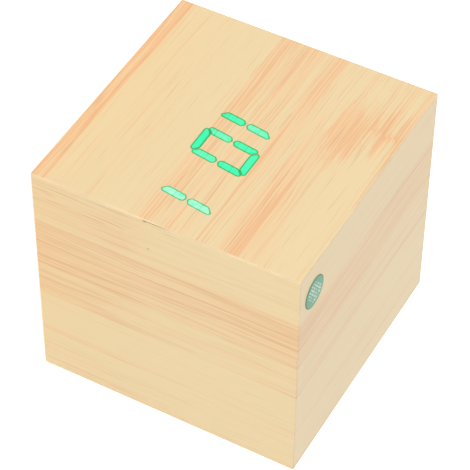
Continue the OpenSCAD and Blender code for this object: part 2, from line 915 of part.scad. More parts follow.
module rear_cover() {
  recess_low = hinge_z - hinge_sunk - edge_gap;
  recess_high = door_high_z + edge_gap;
  recess_w = door_w + 2 * edge_gap;
  color("black")
    difference() {
      union() {
        block(cover_w, cover_h, 0, half_h, cover_y, cover_back_y);
        block(bay_l + 2 * bay_t, bay_h + 2 * bay_t, 0, bay_mid_z, bay_out_y, seat_y);
        for (x = [-post_x, post_x])
          rod(post_d, key_board_y, cover_y + 1, x, row_z);
      }
      block(bay_l, bay_h, 0, bay_mid_z, bay_floor_y, rear_y);
      block(recess_w, recess_high - recess_low, 0, (recess_high + recess_low) / 2, seat_y, rear_y);
      bar(2 * (hinge_sunk + edge_gap), -recess_w / 2, recess_w / 2, hinge_y, hinge_z);
      bar(hinge_pin_d + 2 * hinge_gap, -recess_w / 2 - hinge_pin_l, recess_w / 2 + hinge_pin_l,
          hinge_y, hinge_z);
      rod(2 * scoop_r, cover_back_y - scoop_depth, rear_y, 0, recess_high);
      for (x = [-block_x, block_x], z = [block_low_z, block_high_z]) {
        rod(cover_screw_d + 2 * hole_gap, cover_y - 1, rear_y, x, z);
        rod(cover_head_d + 4 * hole_gap, cover_head_y, rear_y, x, z);
      }
      for (x = [set_x, up_x, down_x])
        rod(key_d + 2 * key_gap, cover_y - 1, rear_y, x, row_z);
      rod(nose_d + 2 * key_gap, cover_y - 1, rear_y, socket_x, row_z);
      for (x = [-post_x, post_x])
        rod(key_screw_d + 2 * thread_gap, key_board_y - 1, key_board_y + key_screw_bite + pilot_extra / 2,
            x, row_z);
      for (i = [0 : slot_count - 1])
        block(slot[0], slot[1], (i - (slot_count - 1) / 2) * slot_pitch, block_low_z, cover_y - 1, rear_y);
      for (end = [[1, 2], [-1, 0]])
        block(plate_t + 2 * tail_gap, tail[0] + 2 * tail_gap, end[0] * (bay_l - plate_t) / 2, cell_z(end[1]),
              bay_out_y - 1, bay_floor_y + 1);
    }
}

module cover_screws() {
  color("silver")
    for (x = [-block_x, block_x], z = [block_low_z, block_high_z])
      screw(cover_screw_d, cover_head_d, cover_head_h, cover_screw_l, x, cover_head_y, z, -1);
}

module battery_door() {
  slit_x = (tongue[0] + slit_w) / 2;
  rib_z = door_high_z - tongue[1] / 2;
  color("black")
    difference() {
      union() {
        block(door_w, door_high_z - hinge_z, 0, (door_high_z + hinge_z) / 2, door_y, cover_back_y);
        bar(2 * hinge_sunk, -door_w / 2, door_w / 2, hinge_y, hinge_z);
        bar(hinge_pin_d, -door_w / 2 - hinge_pin_l, door_w / 2 + hinge_pin_l, hinge_y, hinge_z);
        for (i = [0 : rib_count - 1])
          block(tongue[0] - 2 * rib[0], rib[0], 0, rib_z + (i - (rib_count - 1) / 2) * rib_pitch,
                door_y, cover_back_y + rib[1]);
      }
      for (side = [-1, 1])
        block(slit_w, tongue[1], side * slit_x, door_high_z - tongue[1] / 2 + 1, door_y - 1, rear_y);
    }
}

// Battery cells lie along X in series: place 0 is the lowest, and plus points right, left, right
function cell_z(i) = bay_low_z + cell_gap + cell_d / 2 + i * cell_step;
function cell_side(i) = i % 2 == 0 ? 1 : -1;

module cell(i) {
  side = cell_side(i);
  can_l = cell_l - nub[1];
  edge = cell_d / 20;
  from_x = -side * (contact_x - spring_l);
  r = cell_d / 2;
  translate([from_x, cell_y, cell_z(i)])
    rotate([0, side * 90, 0])
      rotate_extrude()
        polygon([
          [0, 0],
          [r - edge, 0],
          [r, edge],
          [r, can_l - edge],
          [r - edge, can_l],
          [nub[0] / 2, can_l],
          [nub[0] / 2, cell_l],
          [0, cell_l]
        ]);
}

module cell_lower() {
  color("darkorange")
    cell(0);
}

module cell_middle() {
  color("darkorange")
    cell(1);
}

module cell_upper() {
  color("darkorange")
    cell(2);
}

// Each plate serves one cell or joins two: end of the bay, lowest cell, highest cell
PLATES = [[1, 2, 2], [1, 0, 1], [-1, 1, 2], [-1, 0, 0]];
module contact_plates() {
  color("silver")
    for (plate = PLATES) {
      low = cell_z(plate[1]) - plate_w / 2;
      high = cell_z(plate[2]) + plate_w / 2;
      x = plate[0] * (bay_l - plate_t) / 2;
      block(plate_t, high - low, x, (low + high) / 2, cell_y - plate_w / 2, cell_y + plate_w / 2);
      for (i = [plate[1] : plate[2]])
        if (cell_side(i) == plate[0])
          bar(boss[0], plate[0] > 0 ? contact_x - boss[1] : -contact_x - plate_t / 2,
              plate[0] > 0 ? contact_x + plate_t / 2 : boss[1] - contact_x, cell_y, cell_z(i));
      if (plate[1] == plate[2])
        block(plate_t, tail[0], x, cell_z(plate[1]), tail_end_y, cell_y);
    }
}

// Contact spring from its plate to the cell, with straight ends
function spring_path() =
  let (
    steps = 8 * spring_turns,
    run = spring_l - 2 * wire_d
  )
  concat(
    [[0, spring_r[0], 0]],
    [
      for (i = [0 : steps])
        let (u = i / steps, r = spring_r[0] + (spring_r[1] - spring_r[0]) * u, turn = 360 * spring_turns * u)
        [wire_d + run * u, r * cos(turn), r * sin(turn)]
    ],
    [[spring_l, spring_r[1], 0]]
  );
spring_gap = min([
  for (p = spring_path(), q = spring_path())
    if (abs(p.x - q.x) > wire_d) norm(p - q) - wire_d
]);

module contact_springs() {
  echo(spring_gap = spring_gap);
  color("silver")
    for (i = [0 : 2])
      translate([-cell_side(i) * contact_x, cell_y, cell_z(i)])
        mirror([cell_side(i) > 0 ? 0 : 1, 0, 0])
          tube(spring_path(), wire_d, 6, [0, 1, 0]);
}

module battery_lead(route) {
  tube(smooth(route, 3), wire_lead_d, 8, [0, 1, 0]);
}

module red_lead() {
  color("red")
    battery_lead(lead_route(1, cell_z(2), lead_end_z - cell_z(2)));
}

module black_lead() {
  color("black")
    battery_lead(lead_route(-1, cell_z(0), lead_end_z - cell_z(0)));
}

module key_board() {
  color("darkgreen")
    difference() {
      block(2 * key_board_half, key_board_high - key_board_low, 0, row_z, key_front_y, key_board_y);
      for (x = [-post_x, post_x])
        rod(key_screw_d + 2 * hole_gap, key_front_y - 1, key_board_y + 1, x, row_z);
    }
}

module key_board_screws() {
  color("silver")
    for (x = [-post_x, post_x])
      screw(key_screw_d, key_head_d, key_head_h, board_t + key_screw_bite, x, key_front_y, row_z, 1);
}

module key(x) {
  r = key_d / 2;
  turned([
    [0, stem_top_y],
    [neck_d / 2, stem_top_y],
    [neck_d / 2, collar_y - collar_t],
    [collar_d / 2, collar_y - collar_t],
    [collar_d / 2, collar_y],
    [r, collar_y],
    [r, key_top_y - key_edge],
    [r - key_edge, key_top_y],
    [0, key_top_y]
  ], x, row_z);
}

// Arrow head of the up and down keys
module arrow(x, way) {
  prism(key_top_y - mark_h, key_top_y + mark_h)
    translate([x, row_z])
      polygon([[-mark_w / 2, -way * mark_w / 3], [mark_w / 2, -way * mark_w / 3], [0, way * mark_w / 2]]);
}

module key_set() {
  color("dimgray") {
    key(set_x);
    difference() {
      rod(mark_w, key_top_y - mark_h, key_top_y + mark_h, set_x, row_z);
      rod(mark_w / 2, key_top_y, key_top_y + 1, set_x, row_z);
    }
  }
}

module key_up() {
  color("dimgray") {
    key(up_x);
    arrow(up_x, 1);
  }
}

module key_down() {
  color("dimgray") {
    key(down_x);
    arrow(down_x, -1);
  }
}

module switch_bodies() {
  color("gray")
    for (x = [set_x, up_x, down_x])
      difference() {
        block(switch_w, switch_w, x, row_z, key_board_y, switch_y);
        rod(stem_d + 2 * key_gap, switch_y - stem_sunk - key_travel - key_gap, switch_y + 1, x, row_z);
      }
}

module switch_stem(x) {
  rod(stem_d, switch_y - stem_sunk, stem_top_y, x, row_z);
}

module switch_stem_set() {
  color("white")
    switch_stem(set_x);
}

module switch_stem_up() {
  color("white")
    switch_stem(up_x);
}

module switch_stem_down() {
  color("white")
    switch_stem(down_x);
}

module supply_socket() {
  color("black")
    difference() {
      union() {
        block(socket_w, socket_w, socket_x, row_z, key_board_y, cover_y - seat_gap);
        rod(nose_d, key_board_y, nose_y, socket_x, row_z);
      }
      rod(socket_bore, nose_y - socket_depth, rear_y, socket_x, row_z);
    }
}

module socket_pin() {
  color("silver")
    rod(socket_pin_d, nose_y - socket_depth, nose_y - socket_depth + socket_pin_l, socket_x, row_z);
}

module microphone() {
  face_y = key_front_y - microphone_size[1];
  color("lightgray")
    difference() {
      rod(microphone_size[0], face_y, key_front_y, -microphone_x, row_z);
      rod(microphone_hole[0], face_y - 1, face_y + microphone_hole[1], -microphone_x, row_z);
    }
}

module temperature_sensor() {
  bead_y = key_front_y - sensor_reach;
  color("black") {
    translate([-sensor_x, bead_y, row_z])
      sphere(d = sensor_d);
    for (side = [-1, 1])
      rod(sensor_leg_d, bead_y, key_front_y, side * sensor_d / 4 - sensor_x, row_z);
  }
}

wall_top();
wall_right();
wall_bottom();
wall_left();
film_top();
film_right();
film_bottom();
film_left();
front_panel();
front_film();
corner_blocks();
round_label();
display_housing();
lit_segments();
dark_segments();
light_chips();
display_base();
display_pins();
clock_board();
board_spacers();
board_screws();
controller_chip();
chip_leads();
crystal_can();
coin_holder();
coin_cell();
coin_clip();
buzzer();
capacitor_can();
resistors();
ribbon_sockets();
ribbon_cable();
rear_cover();
cover_screws();
battery_door();
cell_lower();
cell_middle();
cell_upper();
contact_plates();
contact_springs();
red_lead();
black_lead();
key_board();
key_board_screws();
key_set();
key_up();
key_down();
switch_bodies();
switch_stem_set();
switch_stem_up();
switch_stem_down();
supply_socket();
socket_pin();
microphone();
temperature_sensor();
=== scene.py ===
from math import cos, pi, radians, sin, sqrt, tan
import bmesh
import bpy
from mathutils import Matrix, Quaternion, Vector
from mathutils.geometry import tessellate_polygon


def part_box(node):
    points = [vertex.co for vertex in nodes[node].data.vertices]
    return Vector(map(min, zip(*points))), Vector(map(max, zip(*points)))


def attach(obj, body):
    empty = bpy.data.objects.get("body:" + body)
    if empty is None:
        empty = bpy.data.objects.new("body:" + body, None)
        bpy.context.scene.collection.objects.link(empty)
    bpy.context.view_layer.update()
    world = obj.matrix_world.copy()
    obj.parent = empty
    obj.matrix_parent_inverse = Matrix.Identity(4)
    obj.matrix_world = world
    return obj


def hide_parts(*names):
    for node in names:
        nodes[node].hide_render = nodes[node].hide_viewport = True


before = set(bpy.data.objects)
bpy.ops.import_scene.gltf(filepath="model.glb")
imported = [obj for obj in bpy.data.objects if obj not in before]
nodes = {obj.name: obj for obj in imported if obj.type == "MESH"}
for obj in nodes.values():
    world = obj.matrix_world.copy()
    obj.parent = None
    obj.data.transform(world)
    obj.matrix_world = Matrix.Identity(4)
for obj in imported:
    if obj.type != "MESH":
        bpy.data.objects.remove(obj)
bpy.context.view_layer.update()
scene = bpy.context.scene
mm = 0.001
white = (1, 1, 1, 1)


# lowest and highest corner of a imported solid, in mm
def packedBox(node):
    return tuple(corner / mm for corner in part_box(node))


print("frame loaded:", len(nodes), "nodes")


# small helpers for node trees: a value in a tree, with which sums are written as usual
class Value:
    def __init__(self, socket):
        self.socket = socket
        self.tree = socket.id_data

    def __add__(self, other):
        return calc("ADD", self, other)

    def __sub__(self, other):
        return calc("SUBTRACT", self, other)

    def __mul__(self, other):
        return calc("MULTIPLY", self, other)

    def __truediv__(self, other):
        return calc("DIVIDE", self, other)

    def __abs__(self):
        return calc("ABSOLUTE", self)


def wire(value, socket):
    if isinstance(value, Value):
        value.tree.links.new(value.socket, socket)
    else:
        socket.default_value = value


# sockets are named as in the node, with _ for a space
def wireAll(sockets, **values):
    for label, value in values.items():
        wire(value, sockets[label.replace("_", " ")])


def setAll(made, settings):
    for key, value in settings.items():
        setattr(made, key, value)


# adds a node and returns one of its values, or all of them by name
def addNode(tree, kind, output=None, inputs=None, **settings):
    made = tree.nodes.new("ShaderNode" + kind)
    setAll(made, settings)
    for key, value in (inputs or {}).items():
        wire(value, made.inputs[key])
    if output is None:
        return {socket.name: Value(socket) for socket in made.outputs}
    return Value(made.outputs[output])


def calc(operation, first, second=0, third=0, clamp=False):
    inputs = {0: first, 1: second, 2: third}
    return addNode(first.tree, "Math", 0, inputs, operation=operation, use_clamp=clamp)


def distance(a, b):
    return calc("SQRT", a * a + b * b)


def remap(value, low, high, outLow=0, outHigh=1):
    inputs = {"Value": value, "From Min": low, "From Max": high, "To Min": outLow, "To Max": outHigh}
    return addNode(value.tree, "MapRange", "Result", inputs, interpolation_type="SMOOTHSTEP")


def blend(share, first, second, mode="MIX"):
    tree = (share if isinstance(share, Value) else second).tree
    inputs = {0: share, 6: first, 7: second}
    return addNode(tree, "Mix", 2, inputs, data_type="RGBA", blend_type=mode, clamp_factor=True)


def vector(x, y, z):
    return addNode(x.tree, "CombineXYZ", 0, {0: x, 1: y, 2: z})


def split(value):
    return addNode(value.tree, "SeparateXYZ", inputs={0: value})


# a tone made lighter or darker by a factor
def shade(tone, factor):
    return blend(1, tone, vector(factor, factor, factor), "MULTIPLY")


def noise(spot, scale=1, detail=2, rough=0.5):
    inputs = {"Vector": spot, "Scale": scale, "Detail": detail, "Roughness": rough}
    return addNode(spot.tree, "TexNoise", 0, inputs)


# noise with its own number of waves per metre along and across the grain
def waves(along, across, counts, seed, detail=2, rough=0.5):
    return noise(vector(along * counts[0], across * counts[1], seed), 1, detail, rough)


def ramp(share, stops):
    made = addNode(share.tree, "ValToRGB", 0, {0: share})
    marks = made.socket.node.color_ramp.elements
    while len(marks) < len(stops):
        marks.new(1)
    for mark, (stop, tone) in zip(marks, stops):
        mark.position = stop
        mark.color = tone
    return made


# screen tone of 0 to 255 as linear light
def linear(red, green, blue):
    tone = [part / 255 for part in (red, green, blue)]
    return tuple(p / 12.92 if p <= 0.04045 else ((p + 0.055) / 1.055) ** 2.4 for p in tone) + (1,)


def newGroup(name, inputs, outputs):
    tree = bpy.data.node_groups.new(name, "ShaderNodeTree")
    kinds = {3: "NodeSocketVector", 4: "NodeSocketColor"}
    for label, value in inputs.items():
        kind = kinds[len(value)] if isinstance(value, tuple) else "NodeSocketFloat"
        tree.interface.new_socket(name=label, in_out="INPUT", socket_type=kind).default_value = value
    for label in outputs:
        kind = "NodeSocketColor" if label == "Color" else "NodeSocketFloat"
        tree.interface.new_socket(name=label, in_out="OUTPUT", socket_type=kind)
    get = {socket.name: Value(socket) for socket in tree.nodes.new("NodeGroupInput").outputs}
    return tree, get, tree.nodes.new("NodeGroupOutput").inputs


def place(tree, group, inputs):
    return addNode(tree, "Group", inputs=inputs, node_tree=group)


# materials by name
finishes = {}


def newMaterial(name, **values):
    made = bpy.data.materials.new(name)
    made.use_nodes = True
    finishes[name] = made
    shader = next(n for n in made.node_tree.nodes if n.type == "BSDF_PRINCIPLED").inputs
    wireAll(shader, **values)
    return made.node_tree, shader


# tone, polish, and the height of the relief with its strength and its depth in mm
def surface(shader, tone, rough, height=None, strength=0, depth=0):
    wireAll(shader, Base_Color=tone, Roughness=rough)
    if depth:
        inputs = {"Height": height, "Strength": strength, "Distance": depth * mm}
        wireAll(shader, Normal=addNode(height.tree, "Bump", 0, inputs))


def objectPlace(tree):
    return addNode(tree, "TexCoord", "Object")


# place on the flat sheet before it is wrapped: X along its grain, Y across
def sheetPlace(tree):
    return split(addNode(tree, "UVMap", 0, uv_map="grain"))


def pointValue(tree, label):
    return addNode(tree, "Attribute", "Fac", attribute_name=label)


# small helpers for objects and meshes
def addObject(name, data):
    made = bpy.data.objects.new(name, data)
    scene.collection.objects.link(made)
    return made


def modify(piece, name, kind, **settings):
    setAll(piece.modifiers.new(name, kind), settings)


def weightNormals(piece):
    modify(piece, "normals", "WEIGHTED_NORMAL", weight=80, keep_sharp=True)


# shape is what meshFrom takes; edges sharper than the smooth angle show
def makePiece(name, materials, slot, stands, *shape, smooth=50, body="case"):
    mesh = meshFrom(name, *shape)
    for label in materials:
        mesh.materials.append(finishes[label])
    mesh.shade_smooth()
    mesh.set_sharp_from_angle(angle=radians(smooth))
    piece = addObject(name, mesh)
    weightNormals(piece)
    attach(piece, body)
    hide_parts(*stands)


# points are in mm, tags are the faces' materials, marks are values of the points,
# and sheet is where each face's corners lie on the flat sheet
def meshFrom(name, points, faces, tags=(), marks=None, sheet=()):
    mesh = bpy.data.meshes.new(name)
    mesh.from_pydata([Vector(p) * mm for p in points], [], faces)
    if tags:
        mesh.polygons.foreach_set("material_index", tags)
    for label, values in (marks or {}).items():
        mesh.attributes.new(label, "FLOAT", "POINT").data.foreach_set("value", values)
    if sheet:
        flat = [part * mm for spot in sheet for part in spot]
        mesh.uv_layers.new(name="grain").data.foreach_set("uv", flat)
    solid = bmesh.new()
    solid.from_mesh(mesh)
    bmesh.ops.recalc_face_normals(solid, faces=solid.faces)
    solid.to_mesh(mesh)
    solid.free()
    return mesh


# faces between two closed loops of equal length
def skin(first, second, count):
    return [(first + k, first + (k + 1) % count, second + (k + 1) % count, second + k) for k in range(count)]


# faces between rows of loops, and the same with a lid at each end
def tube(base, rows, count):
    starts = [base + row * count for row in range(rows)]
    return [face for first, second in zip(starts, starts[1:]) for face in skin(first, second, count)]


def closedTube(base, rows, count):
    last = base + (rows - 1) * count
    return tube(base, rows, count) + [tuple(range(start, start + count)) for start in (base, last)]


# rounds the corners of an outline; an arc takes at most this share of a side
arcShare = 0.48


def roundedLoop(corners, radius, steps):
    loop = []
    size = len(corners)
    for i in range(size):
        before, here, after = (Vector(corners[(i + d) % size]) for d in (-1, 0, 1))
        back, on = before - here, after - here
        half = back.angle(on) / 2
        reach = min(radius / tan(half), arcShare * back.length, arcShare * on.length)
        back, on = back.normalized(), on.normalized()
        centre = here + (back + on).normalized() * (reach / cos(half))
        start, end = here + back * reach - centre, here + on * reach - centre
        turn = start.angle_signed(end)
        loop += [centre + Matrix.Rotation(-turn * k / steps, 2) @ start for k in range(steps + 1)]
    return loop


# moves the sides of a convex outline inwards
def inset(corners, depth):
    middle = sum(corners, Vector((0, 0))) / len(corners)
    lines = []
    for start, end in zip(corners, corners[1:] + corners[:1]):
        along = (end - start).normalized()
        normal = Vector((-along.y, along.x))
        if normal.dot(middle - start) < 0:
            normal = -normal
        lines.append((start + normal * depth, along))
    moved = []
    for (p, d), (q, e) in zip(lines[-1:] + lines[:-1], lines):
        moved.append(p + d * ((q - p).cross(e) / d.cross(e)))
    return moved


print("helpers ready")


# places a camera or a lamp so that it looks back along a direction
def addAimed(name, data, at, away, roll=0):
    made = addObject(name, data)
    made.location = at
    made.rotation_mode = "QUATERNION"
    made.rotation_quaternion = (-away).to_track_quat("-Z", "Y") @ Quaternion((0, 0, 1), roll)
    return made


# camera at the photograph's angle, in mm and degrees; the clock stands here, so the camera is rolled
cameraSet = {
    "aim": (0.7826, 0.6395, 31.7144), "azimuth": 39.9603, "elevation": 19.2304, "distance": 505.767,
    "roll": 112.0413, "lens": 175.46, "clip": (10, 50000),
}


def setCamera(v):
    turn, lift = radians(v["azimuth"]), radians(v["elevation"])
    back = Vector((sin(turn) * cos(lift), -cos(turn) * cos(lift), sin(lift)))
    data = bpy.data.cameras.new("camera")
    data.lens = v["lens"]
    data.clip_start, data.clip_end = (end * mm for end in v["clip"])
    at = (Vector(v["aim"]) + back * v["distance"]) * mm
    scene.camera = addAimed("camera", data, at, back, radians(v["roll"]))


# plain soft light, in metres: even world light, a large lamp beside the camera, two weak ones on other sides
# a lamp's level is how bright it makes a white face that is turned to it
lightSet = {
    "world": 0.45,
    "middle": (0, 0, 0.03),
    "lamps": {
        "keyLamp": {"at": (1.32, -1.35, 0.5), "size": (2.4, 0.94), "level": 0.73},
        "rearLamp": {"at": (-1.5, 1.82, 0.84), "size": (2.4, 1.6), "level": 0.3},
        "leftLamp": {"at": (-1.4, -0.2, 0.4), "size": (0.8, 0.6), "level": 0.18},
    },
    "floor": {"half": 6, "low": -0.00004, "tone": (0.86, 0.86, 0.86, 1), "glow": 0.62},
}


def setLights(v):
    for name, lamp in v["lamps"].items():
        data = bpy.data.lights.new(name, "AREA")
        data.shape = "RECTANGLE"
        data.size, data.size_y = lamp["size"]
        away = Vector(lamp["at"])
        data.energy = lamp["level"] * pi**2 * away.length_squared
        addAimed(name, data, away + Vector(v["middle"]), away)


def seenDirectly(tree):
    path = addNode(tree, "LightPath")
    either = calc("MAXIMUM", path["Is Camera Ray"], path["Is Glossy Ray"])
    return calc("MAXIMUM", either, path["Is Transmission Ray"])


def setWorld(v):
    world = bpy.data.worlds.new("softbox")
    world.use_nodes = True
    tree = world.node_tree
    back = next(n for n in tree.nodes if n.type == "BACKGROUND").inputs
    wireAll(back, Color=white, Strength=remap(seenDirectly(tree), 0, 1, v["world"], 1))
    scene.world = world


def setFloor(v):
    mesh = bpy.data.meshes.new("floor")
    corners = [(x * v["half"], y * v["half"], v["low"]) for x, y in ((-1, -1), (1, -1), (1, 1), (-1, 1))]
    mesh.from_pydata(corners, [], [(0, 1, 2, 3)])
    material = bpy.data.materials.new("floorPaper")
    material.use_nodes = True
    tree = material.node_tree
    tree.nodes.clear()
    paper = addNode(tree, "BsdfDiffuse", 0, {"Color": v["tone"]})
    glow = addNode(tree, "Emission", 0, {"Color": white, "Strength": v["glow"]})
    lifted = addNode(tree, "AddShader", 0, {0: paper, 1: glow})
    mixed = addNode(tree, "MixShader", 0, {0: seenDirectly(tree), 1: paper, 2: lifted})
    addNode(tree, "OutputMaterial", inputs={"Surface": mixed})
    mesh.materials.append(material)
    floor = addObject("floor", mesh)


scene.view_settings.view_transform = "Standard"
setCamera(cameraSet)
setLights(lightSet)
setWorld(lightSet)
setFloor(lightSet["floor"])
print("camera, light and floor set")


# effects that several materials share, with places in metres
# streaks of printed wood along the grain; a larger Band gives more of them
streakSet = {
    "wander": {"counts": (32, 90), "detail": 1},
    "wanderReach": 0.0016,
    "seedStep": 1.7,
    # waves per metre along and across, detail, pull of the band, and the ends of the threshold
    "marks": {
        "Wedge": ((17, 430), 3, 0.86, (0.31, 0.69)),
        "Streak": ((22, 1600), 2, 0.24, (0.56, 0.65)),
        "Fine": ((38, 2900), 1, 0.22, (0.55, 0.64)),
        "Dash": ((70, 2700), 1, 0.08, (0.63, 0.71)),
        "Fibre": ((70, 5200), 2, 0, (0.3, 0.7)),
    },
}
streakMarks = tuple(streakSet["marks"])


def grainStreaksGroup(v):
    inputs = {"Along": 0, "Across": 0, "Seed": 0, "Band": 0.5}
    tree, get, out = newGroup("grainStreaks", inputs, streakMarks)
    wander = waves(get["Along"], get["Across"], seed=get["Seed"], **v["wander"])
    across = get["Across"] + (wander - 0.5) * v["wanderReach"]
    for shift, (label, (counts, detail, pull, ends)) in enumerate(v["marks"].items()):
        mark = waves(get["Along"], across, counts, get["Seed"] + v["seedStep"] * shift, detail)
        wire(remap(mark + (get["Band"] - 0.5) * pull, *ends), out[label])
    return tree


# share of peach at a place, with the ring of a cane: a stained cloud and a soft wavy ridge across the grain
caneSet = {
    "rag": {"counts": (150, 620), "seed": 3.7, "detail": 4, "rough": 0.6},
    "sway": {"counts": (0, 170), "seed": 9.1},
    "slow": {"counts": (16, 80), "seed": 6.3, "detail": 1},
    "spines": {"counts": (5.3, 1900), "seed": 4.4, "detail": 1},
    "cloudRag": 1.6, "cloudEdge": (1.2, 0.3), "cloudStain": 0.34,
    "ringSway": 0.008, "ringEnds": (1.1, 0.6),
    "ridgeWidth": (0.0019, 0.0003), "ridgeBreaks": (0.34, 0.58, 0.3, 1),
    "barbTaper": 26, "barbEnds": (0.42, 0.52),
    "nearRag": 0.022, "nearWidth": (0.011, 0.002), "nearStain": 0.14,
    "drift": 0.34,
}
ringMarks = ("Band", "Cloud", "Near", "Ridge", "Barb")


def caneBandGroup(v):
    inputs = {
        "Along": 0, "Across": 0, "Base": 0.3, "CloudShare": 1, "RingShare": 1,
        "CloudAlong": 0, "CloudAcross": 0, "HalfAlong": 0.01, "HalfAcross": 0.01,
        "RingAlong": 0, "RingAcross": 0, "RingHalf": 0.005,
    }
    tree, get, out = newGroup("caneBand", inputs, ringMarks)
    along, across = get["Along"], get["Across"]
    rag, sway, slow = (waves(along, across, **v[name]) for name in ("rag", "sway", "slow"))
    a = (along - get["CloudAlong"]) / get["HalfAlong"]
    b = (across - get["CloudAcross"]) / get["HalfAcross"]
    cloud = remap(distance(a, b) + (rag - 0.5) * v["cloudRag"], *v["cloudEdge"]) * get["CloudShare"]
    fromRing = along - (get["RingAlong"] + (sway - 0.5) * v["ringSway"])
    bent = abs(fromRing)
    aside = abs((across - get["RingAcross"]) / get["RingHalf"])
    reach = remap(aside, *v["ringEnds"]) * get["RingShare"]
    ridge = remap(bent, *v["ridgeWidth"]) * remap(rag, *v["ridgeBreaks"]) * reach
    # strokes that leave the ridge on both sides and taper off
    spines = waves(calc("GREATER_THAN", fromRing), across, **v["spines"])
    barb = remap(spines - bent * v["barbTaper"], *v["barbEnds"]) * reach
    near = remap(bent + (rag - 0.5) * v["nearRag"], *v["nearWidth"]) * reach
    stained = cloud * v["cloudStain"] + near * v["nearStain"]
    band = calc("ADD", get["Base"] + (slow - 0.5) * v["drift"], stained, clamp=True)
    wireAll(out, Band=band, Cloud=cloud, Near=near, Ridge=ridge, Barb=barb)
    return tree


# tones of the printed wood and how much of them each mark takes
toneSet = {
    "tones": {
        "Pale": linear(242, 217, 169), "Peach": linear(247, 206, 157), "Deep": linear(247, 195, 145),
        "Rust": linear(240, 174, 121), "Brown": linear(196, 126, 78),
    },
    "stains": {
        "Wedge": ("Peach", 0.64), "Cloud": ("Deep", 0.46), "Ridge": ("Deep", 0.5), "Barb": ("Rust", 0.46),
    },
    # share everywhere, and what the band and the ring add to it
    "strokes": {
        "Streak": ("Rust", 0.23, 0.16, 0.1),
        "Fine": ("Rust", 0.12, 0.48, 0.14),
        "Dash": ("Brown", 0.17, 0.08, 0.1),
    },
    "fibreLift": (0.988, 1.012),
    "height": {"Fine": -0.25, "Dash": -0.12, "Fibre": 0.4},
    "rough": {"Fine": 0.06, "Fibre": 0.05},
    "roughBase": 0.52,
}


def caneToneGroup(v):
    inputs = {**dict.fromkeys(streakMarks + ringMarks, 0), "Flecks": 1, "Calm": 1, **v["tones"]}
    tree, get, out = newGroup("caneTone", inputs, ("Color", "Height", "Roughness"))
    def total(shares):
        first, *others = (get[mark] * share for mark, share in shares.items())
        return sum(others, first)
    tone = get["Pale"]
    for mark, (stain, share) in v["stains"].items():
        tone = blend(get[mark] * share, tone, get[stain])
    for mark, (stain, base, withBand, nearRing) in v["strokes"].items():
        strength = get[mark] * (total({"Band": withBand, "Near": nearRing}) + base) * get["Calm"]
        strength = strength * get["Flecks"] if mark == "Dash" else strength
        tone = blend(strength, tone, get[stain])
    colour = shade(tone, remap(get["Fibre"], 0, 1, *v["fibreLift"]))
    wireAll(out, Color=colour, Height=total(v["height"]), Roughness=total(v["rough"]) + v["roughBase"])
    return tree


# plain grain: fine lines or dots for tone and height, and larger patches for tone and polish
# each with waves per metre, detail, and change of tone
grainSet = {
    "mouldGrain": {"fine": (3500, 2), "lift": (0.82, 1.1), "patch": (90, 3), "patchLift": (-0.07, 0.09)},
    "metalGrain": {"fine": (2400, 3), "lift": (0.88, 1.04), "patch": (260, 3), "patchLift": (-0.08, 0.05)},
}
grainRough, grainEnds, patchEnds = 0.6, (0.3, 0.7), (0.35, 0.65)


def plainGrainGroup(name, v):
    scale, detail = v["fine"]
    inputs = {
        "Place": (0, 0, 0), "Stretch": (1, 1, 1), "Scale": scale, "Tone": white, "Smooth": 0.4, "Matt": 0.6,
    }
    tree, get, out = newGroup(name, inputs, ("Color", "Roughness", "Height"))
    drawn = addNode(tree, "VectorMath", 0, {0: get["Place"], 1: get["Stretch"]}, operation="MULTIPLY")
    fine = noise(drawn, get["Scale"], detail, grainRough)
    patch = noise(get["Place"], *v["patch"], grainRough)
    lift = remap(fine, *grainEnds, *v["lift"]) + remap(patch, *patchEnds, *v["patchLift"])
    polish = get["Smooth"] + remap(patch, *grainEnds) * (get["Matt"] - get["Smooth"])
    wireAll(out, Color=shade(get["Tone"], lift), Roughness=polish, Height=fine)
    return tree


grainStreaks = grainStreaksGroup(streakSet)
caneBand = caneBandGroup(caneSet)
caneTone = caneToneGroup(toneSet)
mouldGrain, metalGrain = (plainGrainGroup(name, v) for name, v in grainSet.items())
print("shared effects built")


# outer sizes of the film-covered case in mm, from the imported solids
# edges of the sheets: depth under the outer face and distance from the sheet's end
sheetLow, sheetHigh = packedBox("front_film")
film = sheetHigh.y - sheetLow.y
caseSet = {
    "half": sheetHigh.x, "height": sheetHigh.z, "front": sheetLow.y, "seam": sheetHigh.y,
    "rear": packedBox("film_top")[1].y, "film": film, "corner": film, "leastCorner": 0.08, "steps": 6,
    "wrapFront": [(0.07, 0), (0.02, 0.03), (0, 0.1)],
    "wrapRear": [(0, 0.16), (0.03, 0.07), (0.09, 0.015), (0.16, 0)],
    "sheetBack": [(0.06, 0), (0, 0.05)],
    "sheetFront": [(0, 0.16), (0.05, 0.05), (0.16, 0)],
    "windowGap": 0.003,
}

